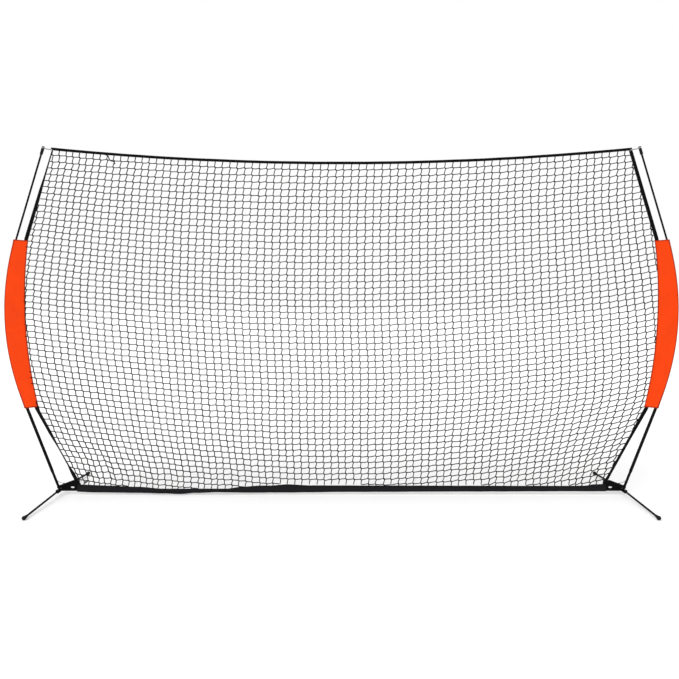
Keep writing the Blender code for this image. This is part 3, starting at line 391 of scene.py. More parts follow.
def vary_roughness(tree, shader, factor, low, high):
    """Roughness from low to high, as a factor goes from 0 to 1."""
    spread = add_node(tree, 'ShaderNodeMapRange', {0: factor, 3: low, 4: high})
    tree.links.new(spread.outputs[0], shader.inputs["Roughness"])


def raise_surface(tree, shader, heights):
    """Bump from (height, depth in metres) pairs, the coarse one first."""
    normal = None
    for height, depth in heights:
        inputs = {"Height": height, "Distance": depth, "Strength": 1.0}
        if normal is not None:
            inputs["Normal"] = normal
        normal = add_node(tree, 'ShaderNodeBump', inputs).outputs[0]
    tree.links.new(normal, shader.inputs["Normal"])


WAVE_PERIOD = 2 * pi / 20          # of a Wave texture at scale 1


def ribs(tree, output, direction, period, distortion=0.35, detail=1.0):
    """Parallel threads or strands, period metres apart."""
    return add_node(tree, 'ShaderNodeTexWave',
                    {"Vector": placed(tree, output), "Scale": WAVE_PERIOD / period,
                     "Distortion": distortion, "Detail": detail},
                    wave_type='BANDS', bands_direction=direction).outputs[1]


def weave(tree, across, along):
    """Plain weave on the UV map: the product of two sets of ribs, 0 to 1."""
    warp, weft = [add_node(tree, 'ShaderNodeMath', {0: ribs(tree, "UV", direction, period), 1: 0.5},
                           operation='SUBTRACT').outputs[0]
                  for direction, period in (('X', across), ('Y', along))]
    both = add_node(tree, 'ShaderNodeMath', {0: warp, 1: weft}, operation='MULTIPLY')
    return add_node(tree, 'ShaderNodeMath', {0: both.outputs[0], 1: 2.0, 2: 0.5},
                    operation='MULTIPLY_ADD').outputs[0]


def tone(colour, factor):
    """The same hue, lighter or darker."""
    return [min(c * factor, 1.0) for c in colour[:3]] + [1.0]


def powder_coated_steel(colour):
    """Mild steel, sprayed and baked: deep black with a soft sheen and a faint orange peel."""
    material, tree, shader = start_finish("powder_coated_steel", IOR=1.5, Specular_IOR_Level=0.06)
    peel = speckle(tree, 1.6 * MM, 2.0)
    dust = speckle(tree, 45 * MM, 5.0, 0.7)
    blend_colour(tree, shader, dust, 0.35, 0.75, colour, tone(colour, 1.9))
    vary_roughness(tree, shader, dust, 0.36, 0.56)
    raise_surface(tree, shader, [(peel, 0.10 * MM)])
    return material


def zinc_plated_steel():
    """Bright zinc on a cold-headed bolt or a stamped button: grey metal with a cloudy passivation."""
    material, tree, shader = start_finish("zinc_plated_steel", Metallic=1.0)
    cloud = speckle(tree, 3 * MM, 4.0)
    blend_colour(tree, shader, cloud, 0.3, 0.7, linear("#9FA2A6"), linear("#C9CBCD"))
    vary_roughness(tree, shader, cloud, 0.22, 0.40)
    raise_surface(tree, shader, [(speckle(tree, 0.8 * MM), 0.02 * MM)])
    return material


def pultruded_fibreglass():
    """Black pultruded rod: straight glass rovings show as fine streaks under a glossy resin."""
    material, tree, shader = start_finish("pultruded_fibreglass", IOR=1.52, Specular_IOR_Level=0.07)
    streaks = speckle(tree, 1.2 * MM, stretch=(1, 1, 0.03))
    wear = speckle(tree, 60 * MM, 4.0)
    blend_colour(tree, shader, streaks, 0.35, 0.7, linear("#040405"), linear("#0C0C0D"))
    vary_roughness(tree, shader, wear, 0.24, 0.42)
    raise_surface(tree, shader, [(streaks, 0.06 * MM)])
    return material


def moulded_polyethylene():
    """Injection-moulded cap and collar: waxy black with a fine spark-eroded grain."""
    material, tree, shader = start_finish("moulded_polyethylene", IOR=1.51, Specular_IOR_Level=0.12)
    grain = speckle(tree, 0.9 * MM, 2.0)
    blend_colour(tree, shader, speckle(tree, 14 * MM), 0.3, 0.7, linear("#080809"), linear("#101011"))
    vary_roughness(tree, shader, grain, 0.42, 0.60)
    raise_surface(tree, shader, [(grain, 0.08 * MM)])
    return material


def moulded_rubber():
    """Natural rubber tip: dull black, dusty where it meets the floor."""
    material, tree, shader = start_finish("moulded_rubber", IOR=1.52, Specular_IOR_Level=0.2)
    height = add_node(tree, 'ShaderNodeSeparateXYZ', {"Vector": placed(tree)}).outputs[2]
    low = add_node(tree, 'ShaderNodeMapRange', {0: height, 1: 0.0, 2: 14 * MM, 3: 1.0, 4: 0.0}).outputs[0]
    dust = speckle(tree, 4 * MM, 5.0, 0.7)
    worn = add_node(tree, 'ShaderNodeMath', {0: low, 1: dust}, operation='MULTIPLY').outputs[0]
    blend_colour(tree, shader, worn, 0.1, 0.7, linear("#0D0D0E"), linear("#3A3937"))
    vary_roughness(tree, shader, dust, 0.70, 0.92)
    raise_surface(tree, shader, [(dust, 0.12 * MM)])
    return material


def knotted_twine(colour):
    """Twisted polyethylene twine: matt, near-black fibres with a diagonal lay about 4 mm long."""
    material, tree, shader = start_finish("twisted_polyethylene_twine", IOR=1.51, Specular_IOR_Level=0.08)
    lay = ribs(tree, "Object", 'DIAGONAL', 2.4 * MM, distortion=0.6)
    fade = speckle(tree, 120 * MM, 4.0)
    fibre = add_node(tree, 'ShaderNodeMath', {0: lay, 1: fade}, operation='MULTIPLY').outputs[0]
    blend_colour(tree, shader, fibre, 0.05, 0.6, tone(colour, 0.55), tone(colour, 1.5))
    vary_roughness(tree, shader, fade, 0.55, 0.80)
    raise_surface(tree, shader, [(lay, 0.35 * MM)])
    return material


def polyester_webbing(name, colour):
    """Woven polyester tape: cross ribs at 2 mm with a chevron, soft fibre sheen, a little lint."""
    material, tree, shader = start_finish(name, IOR=1.5, Specular_IOR_Level=0.07, Sheen_Weight=0.02,
                                          Sheen_Roughness=0.45)
    threads = weave(tree, 1.9 * MM, 2.4 * MM)
    lint = speckle(tree, 9 * MM, 6.0, 0.75)
    blend_colour(tree, shader, threads, 0.15, 0.9, tone(colour, 0.6), tone(colour, 1.7))
    vary_roughness(tree, shader, lint, 0.70, 0.92)
    raise_surface(tree, shader, [(lint, 0.25 * MM), (threads, 0.35 * MM)])
    return material


def oxford_fabric(name, colour, darker, lighter, folds=()):
    """Coated polyester Oxford: a basket weave, drawn at 1.8 mm so that it shows, over soft creases.

    folds are (across or along the cloth, distance, width) of the lines where it is folded; painted shade
    darkens the colour along them, standing in for the shade where the cloth turns.
    """
    material, tree, shader = start_finish(name, IOR=1.46, Specular_IOR_Level=0.12)
    threads = weave(tree, 1.8 * MM, 1.8 * MM)
    crease = speckle(tree, 26 * MM, 3.0, 0.55, (1.0, 1.0, 0.35))
    shade = speckle(tree, 110 * MM)
    calm = add_node(tree, 'ShaderNodeMapRange', {0: shade, 3: 0.33, 4: 0.63}).outputs[0]
    both = add_node(tree, 'ShaderNodeMath', {0: threads, 1: 0.35, 2: calm},
                    operation='MULTIPLY_ADD').outputs[0]
    # painted shade along each fold, where the cloth turns away from the light
    for axis, line, width in folds:
        both = painted_fold_shade(tree, both, axis, line, width)
    blend_colour(tree, shader, both, 0.0, 0.85, tone(colour, darker), tone(colour, lighter))
    vary_roughness(tree, shader, shade, 0.62, 0.82)
    raise_surface(tree, shader, [(crease, 1.3 * MM), (threads, 0.22 * MM)])
    return material


def painted_fold_shade(tree, value, axis, line, width):
    """Lowers a value towards a line of the UV map: painted shade along a fold, where the cloth turns away
    from the light.
    """
    across = add_node(tree, 'ShaderNodeSeparateXYZ', {"Vector": placed(tree, "UV")}).outputs[axis]
    off = add_node(tree, 'ShaderNodeMath', {0: across, 1: line}, operation='SUBTRACT').outputs[0]
    away = add_node(tree, 'ShaderNodeMath', {0: off}, operation='ABSOLUTE').outputs[0]
    near = add_node(tree, 'ShaderNodeMapRange',
                    {0: away, 1: 0.55 * width, 2: width, 3: 1.0, 4: 0.0}).outputs[0]
    return add_node(tree, 'ShaderNodeMath', {0: near, 1: -0.9, 2: value},
                    operation='MULTIPLY_ADD').outputs[0]


def sewing_thread(name, colour):
    """Bonded nylon thread: smooth and slightly glossy, lighter than the cloth that it pulls down."""
    material, tree, shader = start_finish(name, IOR=1.53, Specular_IOR_Level=0.25)
    fuzz = speckle(tree, 1.5 * MM)
    blend_colour(tree, shader, fuzz, 0.3, 0.7, tone(colour, 0.8), tone(colour, 1.25))
    vary_roughness(tree, shader, fuzz, 0.35, 0.55)
    return material


def braided_elastic():
    """Shock cord: a braided polyester sheath over rubber, with a small diamond pattern."""
    material, tree, shader = start_finish("braided_shock_cord", IOR=1.5, Specular_IOR_Level=0.15)
    braid = ribs(tree, "Object", 'DIAGONAL', 1.6 * MM, distortion=2.0, detail=2.0)
    blend_colour(tree, shader, braid, 0.1, 0.9, linear("#101011"), linear("#2E2E31"))
    vary_roughness(tree, shader, braid, 0.55, 0.80)
    raise_surface(tree, shader, [(braid, 0.25 * MM)])
    return material


def acetal():
    """Moulded acetal toggle: mid grey, slick, with faint flow marks."""
    material, tree, shader = start_finish("moulded_acetal", IOR=1.48, Specular_IOR_Level=0.25)
    flow = speckle(tree, 5 * MM)
    blend_colour(tree, shader, flow, 0.3, 0.7, linear("#2E2F32"), linear("#5A5B5F"))
    vary_roughness(tree, shader, flow, 0.32, 0.48)
    raise_surface(tree, shader, [(speckle(tree, 0.7 * MM), 0.03 * MM)])
    return material


def blackened_brass():
    """Pressed eyelet in brass with a black nickel plate: dark metal, bright on its worn rim."""
    material, tree, shader = start_finish("black_nickel_eyelet", Metallic=1.0)
    wear = speckle(tree, 3 * MM, 4.0)
    blend_colour(tree, shader, wear, 0.45, 0.75, linear("#3A3A3D"), linear("#8A8785"))
    vary_roughness(tree, shader, wear, 0.25, 0.45)
    return material


# ---------------------------------------------------------------- frame
CRISP_ANGLE = radians(32)          # between faces of the frame, past which an edge stays sharp


def cad_nodes(*stems):
    """The frame's pieces whose names start with one of the stems."""
    return [item for name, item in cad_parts.items() if name.startswith(stems)]


def dress(items, finish):
    """Gives frame pieces their finish and smooth shading; their shape stays."""
    for item in items:
        for slot in item.material_slots:
            slot.material = finish
        custom = item.data.attributes.get("custom_normal")
        if custom is not None:
            item.data.attributes.remove(custom)
        item.data.polygons.foreach_set("use_smooth", [True] * len(item.data.polygons))
        item.modifiers.new("join", 'WELD').merge_threshold = 0.01 * MM
        item.modifiers.new("crisp", 'EDGE_SPLIT').split_angle = CRISP_ANGLE


class BARRIERNET_OT_finish_frame(bpy.types.Operator):
    """Give the steel, fibreglass, plastic and rubber of the frame their finishes"""
    bl_idname = "barriernet.finish_frame"
    bl_label = "Finish the frame"

    def execute(self, context):
        colours = context.scene.net_colours
        dress(cad_nodes("crossbar_", "foot_bracket_", "leg_front_", "leg_back_", "pole_tube_"),
              powder_coated_steel(colours.coating))
        dress(cad_nodes("pivot_", "coupler_button_", "foot_button_", "post_button_", "rod_ferrule_"),
              zinc_plated_steel())
        dress(cad_nodes("rod_lower_", "rod_upper_"), pultruded_fibreglass())
        dress(cad_nodes("pole_reducer_", "tip_cap_"), moulded_polyethylene())
        dress(cad_nodes("leg_tip_"), moulded_rubber())
        return {'FINISHED'}


# ---------------------------------------------------------------- hem
HEM_CLOTH = 0.9 * MM
HEM_THICK = 3.2 * MM
HEM_STITCH_RISE = 16 * MM          # stitch line above the crossbar's axis
HEM_EDGE_STITCH = 5 * MM           # stitch line below the hem's edge
HEM_WRAP = (radians(28), radians(-236))    # where the cloth meets the bar, and how far it goes round
HEM_PUCKER = 0.35 * MM             # depth and length of the waves that the sewing draws
HEM_PUCKER_LENGTH = 21 * MM
# Along the hem: degrees that it has rolled back, then millimetres that it hangs under the bar, and
# millimetres that its edge stands higher than in the frame.
HEM_TURNS = [(-1.64, 0), (-1.34, 56), (-1.15, 92), (-0.76, 92), (-0.63, 56), (-0.50, 14), (-0.38, 0)]
HEM_SLACK = [(-1.74, 2), (-1.60, 5.5), (-1.33, 7.5), (-1.15, 10), (-1.05, 13), (-0.95, 8), (-0.80, 5),
             (-0.60, 6.5), (-0.35, 6), (0.02, 3.5), (0.80, 2), (1.60, 0.5)]
HEM_FULLNESS = [(-1.68, 4), (-1.50, -4), (-1.20, -6), (-0.70, -4), (-0.47, -3), (-0.347, 6), (-0.20, -1),
                (0.30, -2), (0.80, -3), (1.20, -4), (1.45, -4), (1.58, -3), (1.64, 6), (1.70, 8)]
BUTTON_X = 0.6304                  # where the crossbar's snap buttons lift the rolled hem
BUTTON_LIFT = 2.8 * MM
BUTTON_REACH = (12 * MM, 7 * MM)   # how far that goes along the hem and across it


def hem_turn(x):
    """How far the hem's flat edge has rolled backwards round the crossbar."""
    return radians(smooth_steps(x, HEM_TURNS))


def hem_reach(x):
    """From the crossbar's axis to the hem's edge."""
    ripple = 0.5 * MM * noise.noise((x * 9, 0, 0))
    return HEM_HIGH.z - BAR_Z + smooth_steps(x, HEM_FULLNESS) * MM + ripple


def hem_edge(x):
    """The hem's edge, where the net is sewn in, as (y, z)."""
    turn, reach = hem_turn(x), hem_reach(x)
    return reach * sin(turn), BAR_Z + reach * cos(turn)


def hem_outline(x):
    """Drop-shaped loop round the crossbar, with its flat edge up before it is rolled."""
    radius = BAR_RADIUS + 0.3 * MM + HEM_CLOTH
    half = HEM_THICK / 2
    reach = hem_reach(x)
    pucker = HEM_PUCKER * sin(x * 2 * pi / HEM_PUCKER_LENGTH + 2 * noise.noise((x * 5, 3, 0)))
    start, sweep = HEM_WRAP
    parts = 16
    points = []
    for i in range(parts + 1):
        angle = start + sweep * i / parts
        loose = 0.6 * MM * noise.noise((x * 14, angle * 0.8, 5.0)) + 0.5 * MM
        points.append((cos(angle) * (radius + loose), sin(angle) * (radius + loose)))
    back = [(-half - 0.4 * MM, HEM_STITCH_RISE - 4 * MM), (-half + pucker * 0.4, HEM_STITCH_RISE),
            (-half - pucker, (HEM_STITCH_RISE + reach) / 2), (-half + pucker, reach - 1.2 * MM),
            (-half * 0.4, reach)]
    return points + back + [(-y, z) for y, z in reversed(back)]


def rolled(x, y, z):
    """Depth and height over the axis of a point of the hem, once the hem has rolled back."""
    turn = hem_turn(x)
    return y * cos(turn) + z * sin(turn), z * cos(turn) - y * sin(turn)


def hem_section(x):
    """The loop of cloth at x: rolled back, lifted by the snap buttons and slack under the bar."""
    slack = smooth_steps(x, HEM_SLACK) * MM
    along, across = BUTTON_REACH
    lift = BUTTON_LIFT * exp(-((abs(x) - BUTTON_X) / along) ** 2) * sin(hem_turn(x))
    section = []
    for y, z in hem_outline(x):
        depth, rise = rolled(x, y, z)
        if rise > 0:
            rise += lift * exp(-(depth / across) ** 2)
        rise -= slack * min(max(-rise / BAR_RADIUS, 0), 1.2) ** 2
        section.append((x, depth, BAR_Z + rise))
    return section


HEM_STATION = 10 * MM


class BARRIERNET_OT_sew_bottom_sleeve(bpy.types.Operator):
    """Sew the hem sleeve that the crossbar runs through"""
    bl_idname = "barriernet.sew_bottom_sleeve"
    bl_label = "Sew the bottom sleeve"

    def execute(self, context):
        colours = context.scene.net_colours
        count = ceil(2 * HEM_END / HEM_STATION)
        stations = [HEM_END * (2 * i / count - 1) for i in range(count + 1)]
        sections = [hem_section(x) for x in stations]
        around = distances(sections[count // 2] + sections[count // 2][:1])
        along = [x + HEM_END for x in stations]
        name = "bottom_sleeve_cloth"
        item = linked(name, outward(loft(name, sections, True, False, around, along)))
        give_wall(item, HEM_CLOTH, -1)
        cloth = oxford_fabric("black_oxford", colours.hem, 0.7, 1.6)
        settle(item, cloth, smooth=60)
        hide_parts("bottom_sleeve")

        lines = []
        for side in (-1, 1):
            for rise in (HEM_STITCH_RISE, None):
                line = []
                for x in stations[1:-1]:
                    z = hem_reach(x) - HEM_EDGE_STITCH if rise is None else rise
                    depth, height = rolled(x, side * (HEM_THICK / 2 + 0.2 * MM), z)
                    line.append(((x, depth, BAR_Z + height), (0, *rolled(x, side, 0))))
                lines.append(line)
        thread = sewing_thread("black_sewing_thread", tone(colours.webbing, 1.6))
        sew("bottom_sleeve_stitches", lines, thread)
        return {'FINISHED'}


# ---------------------------------------------------------------- net
CELL_GROWTH = (0.000785, 0.000005)         # cells grow wider from the left to the right
ROW_GROWTH = 0.108                         # and taller from the hem up
SIDE_X = 1.915                             # where the sag is measured
DRAWN_LEFT, DRAWN_RIGHT = -1.99, 1.92      # where the side bands draw the uprights as DRAWN says
FADE_LEFT, FADE_RIGHT = 0.94, 0.81         # and how quickly that fades towards the middle
# Height, and how far the uprights stand to the right there: by the left band, in the middle, by the
# right band.
DRAWN = np.array([
    (0.10, 0.317, 0.010, -0.186), (0.23, 0.263, 0.010, -0.155), (0.36, 0.193, 0.010, -0.106),
    (0.49, 0.138, 0.013, -0.058), (0.62, 0.084, 0.017, -0.020), (0.75, 0.049, 0.018, -0.002),
    (0.88, 0.021, 0.014, 0.006), (1.14, 0.000, 0.004, 0.007), (1.27, 0.000, 0.000, 0.000),
    (1.40, 0.007, 0.000, -0.013), (1.66, 0.044, 0.000, -0.047), (1.92, 0.082, 0.003, -0.075),
    (2.18, 0.118, 0.010, -0.081)])
HEM_PULL = 0.075                           # share of the height over which the hem's roll fades
SEWN_IN = 6 * MM
EDGE_MARGIN = 12 * MM                      # no knot lies closer to the line where the net is sewn in
FLAT_END = 4.5 * MM                        # length of twine that the band's webbing presses flat
UPRIGHT_STEP = Vector((-3.8, 0, 3.3)) * MM  # half of the step that a twine makes in a knot
CROSS_STEP = Vector((4.1, 0, -2.3)) * MM
SWELL = (6.4 * MM, 4.4 * MM, 4.2 * MM)     # half a knot's length, depth and thickness
KNOT_TILT = (0.55, 1.05)                   # radians that the knots lean down to the right
# A loose end of twine that hangs from the top band near the left corner: (x, y, z) in millimetres.
LOOSE_END = [(-1542, -2, 2212), (-1524, -6, 2206), (-1512, -9, 2199), (-1507, -10, 2185),
             (-1502, -10, 2172), (-1488, -10, 2166), (-1474, -10, 2162), (-1468, -10, 2147)]


def column_x(sizes, column, z):
    """Where an upright twine hangs at a height."""
    grow, curve = CELL_GROWTH
    x = sizes.pitch * (column + grow * column ** 2 + curve * column ** 3)
    left, middle, right = [np.interp(z, DRAWN[:, 0], DRAWN[:, i]) for i in (1, 2, 3)]
    from_left, from_right = exp((DRAWN_LEFT - x) / FADE_LEFT), exp((x - DRAWN_RIGHT) / FADE_RIGHT)
    return x + middle + left * from_left + right * from_right


def net_point(sizes, column, row):
    """A crossing of the mesh, before it is shaken. Rows below 0 or over the last run out at the sides."""
    part = row / sizes.rows
    share = (part + ROW_GROWTH * part * abs(part)) / (1 + ROW_GROWTH)
    height = HEM_HIGH.z + (top_z(0) - HEM_HIGH.z) * share
    sag = sizes.sag_low + (sizes.sag_high - sizes.sag_low) * share
    z = height
    for _ in range(4):
        x = column_x(sizes, column, z)
        z = height + sag * (x / SIDE_X) ** 2
    bow = max(1 - (x / middle_x(z)) ** 2, 0.0)
    rise = min(max(share, 0.0), 1.0)
    belly = sizes.belly * sin(pi * rise ** 0.85) ** 2 * bow
    return Vector((x, belly + hem_edge(x)[0] * exp(-rise / HEM_PULL), z))


def crossings(sizes):
    """All the mesh's crossings, also outside its edges, as {(column, row): point}."""
    shake = np.random.default_rng(7)
    found = {}
    for column in range(-sizes.columns - 1, sizes.columns + 2):
        lean = Vector((0, 0, 0))
        for row in range(-7, sizes.rows + 3):
            jog = Vector(shake.normal(0, 1.0, 3)) * MM
            lean = lean * 0.6 + jog * (1.1 + 0.8 * exp(-max(row, 0) / 4))
            shift = Vector((lean.x, 1.5 * lean.y, 0.8 * lean.z))
            found[column, row] = net_point(sizes, column, row) + shift
    return found


def inside(point):
    """How far a point of the net is inside the lines where it is sewn to the bands and the hem."""
    return min(middle_x(point.z) - abs(point.x), top_z(point.x) - point.z,
               point.z - hem_edge(point.x)[1] + SEWN_IN)


def toward_edge(point, beyond):
    """Where a twine that leaves the net meets the line where it is sewn in."""
    here, there = inside(point), inside(beyond)
    return point.lerp(beyond, min(max(here / max(here - there, 1e-6), 0.0), 1.0))


def stretches(keys, held):
    """Runs of neighbouring crossings that are all held."""
    run = []
    for key in keys:
        if key in held:
            run.append(key)
        elif run:
            yield run
            run = []


def sewn_end(end, knot):
    """The thin end of a twine inside a band, up to where it has its full thickness."""
    share = min(FLAT_END / (knot - end).length, 0.7)
    return [(end, 0.40), (end.lerp(knot, share), 0.75), (end.lerp(knot, share + 0.2), 1.0)]


def twine_line(points, first, last, offset, sag, shake):
    """One twine through its knots, with a slack middle in each cell and a sewn end at each band."""
    line = sewn_end(first, points[0])
    for i, point in enumerate(points):
        jog = offset * shake.uniform(0.75, 1.25)
        line += [(point - jog, 1.0), (point + jog, 1.0)]
        if i + 1 < len(points):
            bend = Vector(shake.normal(0, 0.7, 3)) * MM + sag
            line.append((point.lerp(points[i + 1], 0.5) + bend, 0.96))
    return line + sewn_end(last, points[-1])[::-1]


def knot_mesh(places, swell, seed):
    """Small lumps of wrapped twine, one at each place."""
    shape = bmesh.new()
    bmesh.ops.create_uvsphere(shape, u_segments=6, v_segments=4, radius=1.0)
    lump = np.array([v.co * (1 + 0.16 * cos(3 * atan2(v.co.y, v.co.x))) for v in shape.verts])
    bmesh.ops.triangulate(shape, faces=shape.faces[:])
    faces = np.array([[v.index for v in f.verts] for f in shape.faces])
    shape.free()
    shake = np.random.default_rng(seed)
    points = np.empty((len(places), len(lump), 3))
    for i, place in enumerate(places):
        tilt = Matrix.Rotation(shake.uniform(*KNOT_TILT), 3, 'Y')
        turn = tilt @ Matrix.Rotation(shake.uniform(-0.3, 0.3), 3, 'X')
        size = np.array(swell) * shake.uniform(0.85, 1.15, 3)
        points[i] = (lump * size) @ np.array(turn).T + np.array(place)
    starts = np.arange(len(places))[:, None, None] * len(lump)
    return mesh_from("net_knots", points.reshape(-1, 3), (faces[None] + starts).reshape(-1, 3))


class BARRIERNET_OT_knot_net(bpy.types.Operator):
    """Knot the mesh: uprights, cross twines and their knots"""
    bl_idname = "barriernet.knot_net"
    bl_label = "Knot the net"

    def execute(self, context):
        sizes, colours = context.scene.net_sizes, context.scene.net_colours
        twine = knotted_twine(colours.twine)
        points = crossings(sizes)
        held = {key for key, point in points.items() if inside(point) > EDGE_MARGIN}
        shake = np.random.default_rng(11)
        columns, rows = [range(min(k), max(k) + 1) for k in zip(*points)]

        def lines(tracks, step, offset, sag):
            """Every stretch of twine along the tracks; step leads from one crossing to the next."""
            for track in tracks:
                for run in stretches(track, held):
                    before = points[run[0][0] - step[0], run[0][1] - step[1]]
                    after = points[run[-1][0] + step[0], run[-1][1] + step[1]]
                    run = [points[key] for key in run]
                    yield twine_line(run, toward_edge(run[0], before), toward_edge(run[-1], after),
                                     offset, sag, shake)

        uprights = list(lines([[(c, r) for r in rows] for c in columns], (0, 1),
                              UPRIGHT_STEP, Vector()))
        uprights.append([(Vector(point) * MM, 1.0) for point in LOOSE_END])
        down = tube_object("net_uprights", uprights, sizes.twine_down)
        settle(down, twine, smooth=80)
        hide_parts("net")

        crossed = list(lines([[(c, r) for c in columns] for r in rows], (1, 0),
                             CROSS_STEP, Vector((0, 0, -0.5 * MM))))
        across = tube_object("net_cross_twines", crossed, sizes.twine_across)
        settle(across, twine, smooth=80)
        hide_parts("net")

        places = [points[key] for key in sorted(held)]
        knots = add_piece("net_knots", knot_mesh(places, SWELL, 3), twine)
        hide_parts("net")
        return {'FINISHED'}


# ---------------------------------------------------------------- bands
TOP_BAND_WIDTH = 18 * MM
BAND_THICK = 2.5 * MM
BAND_STATION = 12 * MM
TOP_BAND_INSET = 3 * MM            # stitches from the top band's edges
SIDE_BAND_INSET = 3.4 * MM         # stitches from a side band's edges
TOP_BAND_WAVE = 1.2 * MM
TOP_BAND_TILT = 0.16               # radians that it twists to and fro
BAND_TWISTS = {                    # (height, degrees) of the left and of the right side band
    -1: [(0.07, 0), (0.13, -8), (0.20, -48), (0.29, -50), (0.42, -20), (0.56, -12), (0.68, 0),
         (1.70, 0), (1.95, -18), (2.09, -44), (2.17, -50)],
    1: [(0.07, -18), (0.15, -28), (0.36, -25), (0.56, 0), (1.70, 0), (2.20, -8)],
}


def side_band_frame(side, z):
    """Middle, across direction and outward normal of a side band at a height."""
    step = 4 * MM
    lean = atan2(middle_x(z + step) - middle_x(z - step), 2 * step)
    twist = radians(smooth_steps(z, BAND_TWISTS[side]))
    flat = Vector((side * cos(lean), 0, -sin(lean)))
    across = flat * cos(twist) + FRONT * sin(twist)
    normal = FRONT * cos(twist) - flat * sin(twist)
    return Vector((side * middle_x(z), 0, z)), across, normal


def band_stitches(centres, acrosses, normals, inset, width):
    """Two rows of stitches on both faces of a band."""
    aside, off = width / 2 - inset, BAND_THICK / 2
    return [[(c + a * edge * aside + n * face * off, n * face)
             for c, a, n in zip(centres, acrosses, normals)]
            for edge in (-1, 1) for face in (-1, 1)]


class BARRIERNET_OT_sew_top_band(bpy.types.Operator):
    """Sew the webbing along the top of the net"""
    bl_idname = "barriernet.sew_top_band"
    bl_label = "Sew the top band"

    def execute(self, context):
        colours = context.scene.net_colours
        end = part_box("top_band")[1].x
        count = ceil(2 * end / BAND_STATION)
        centres, acrosses, normals = [], [], []
        for i in range(count + 1):
            x = end * (2 * i / count - 1)
            wave = TOP_BAND_WAVE * noise.noise((x * 6, 1.7, 0))
            tilt = TOP_BAND_TILT * noise.noise((x * 3, 7.1, 0))
            slope = Vector((10 * MM, 0, top_z(x + 5 * MM) - top_z(x - 5 * MM))).normalized()
            up = Vector((-slope.z, 0, slope.x))
            centres.append(Vector((x, wave * 0.6, top_z(x) + wave)))
            acrosses.append(up * cos(tilt) + FRONT * sin(tilt))
            normals.append(FRONT * cos(tilt) - up * sin(tilt))
        webbing = polyester_webbing("polyester_webbing", colours.webbing)
        mesh = strap_mesh("top_band_webbing", centres, acrosses, normals, TOP_BAND_WIDTH, BAND_THICK)
        item = add_piece("top_band_webbing", mesh, webbing)
        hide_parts("top_band")
        length = float(distances(centres)[-1])
        thread = sewing_thread("webbing_thread", tone(colours.webbing, 1.6))
        lines = band_stitches(centres, acrosses, normals, TOP_BAND_INSET, TOP_BAND_WIDTH)
        sew("top_band_stitches", lines, thread)
        return {'FINISHED'}


class BARRIERNET_OT_sew_side_bands(bpy.types.Operator):
    """Sew the webbing down both sides of the net"""
    bl_idname = "barriernet.sew_side_bands"
    bl_label = "Sew the side bands"

    def execute(self, context):
        colours = context.scene.net_colours
        webbing = polyester_webbing("side_band_webbing", colours.webbing)
        thread = sewing_thread("side_band_thread", tone(colours.webbing, 1.6))
        for side, hand in SIDES:
            low, high = float(BAND_OUTER[0][0]), float(BAND_INNER[-1][0])
            count = ceil((high - low) / BAND_STATION)
            centres, acrosses, normals = zip(*[side_band_frame(side, low + (high - low) * i / count)
                                               for i in range(count + 1)])
            name = f"side_band_{hand}_webbing"
            mesh = strap_mesh(name, centres, acrosses, normals, BAND_WIDTH, BAND_THICK)
            item = add_piece(name, mesh, webbing)
            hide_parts(f"side_band_{hand}")
            float(distances(centres)[-1])
            lines = band_stitches(centres, acrosses, normals, SIDE_BAND_INSET, BAND_WIDTH)
            sew(f"side_band_{hand}_stitches", lines, thread)
        return {'FINISHED'}


# ---------------------------------------------------------------- pole sleeves
SLEEVE_LOW, SLEEVE_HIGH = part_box("pole_sleeve_right")
SLEEVE_FOOT = SLEEVE_LOW.z + 1.0 * MM
SLEEVE_HEAD = SLEEVE_HIGH.z - 3.0 * MM
SLEEVE_CLOTH = 0.8 * MM
SLEEVE_STATION = 7 * MM
SLEEVE_END_HEM = 17 * MM           # depth of the folded hem at each end
SLEEVE_END_SEAM = 13 * MM          # stitch line from each end
SLEEVE_POLE_SEAM = 13 * MM         # stitch line from the pole's middle
SLEEVE_BAND_SEAM = 9 * MM          # stitch line from the band's inner edge
SLEEVE_AROUND_POLE = 14            # faces round the pole, across each panel and round the band
SLEEVE_PANEL = 14
SLEEVE_AROUND_BAND = 5
SLEEVE_LEAN = 0.25                 # how far the ends lean, as a share of the pole's lean
SLEEVE_FOLD_SHADE = (17 * MM, 8 * MM, 9 * MM, 8 * MM)   # width of the painted shade along the fold at the pole, band, lower and upper end


def pole_slope(z):
    """How far the pole leans outwards at a height, as a share of the rise."""
    step = 10 * MM
    return float(pole_x(z + step) - pole_x(z - step)) / (2 * step)


def panel_width(z):
    """From the pole's middle to the band's inner edge at a height."""
    return float(pole_x(z) - inner_x(z))


def arc(centre, radius, start, sweep, count, ease=1.0):
    """A rounded end of the sleeve's belt, as (u, v), the outward normal and no freedom to crease.

    ease stands the side away from the band off the pole.
    """
    points = []
    for i in range(count + 1):
        angle = start + sweep * i / count
        out = ease if cos(angle) < 0 else 1.0
        points.append((centre + out * radius * cos(angle), radius * sin(angle),
                       cos(angle), sin(angle), 0.0))
    return points


def groove(distance, seam, width):
    """1 on a seam, falling to 0 beside it."""
    return exp(-((distance - seam) / width) ** 2)


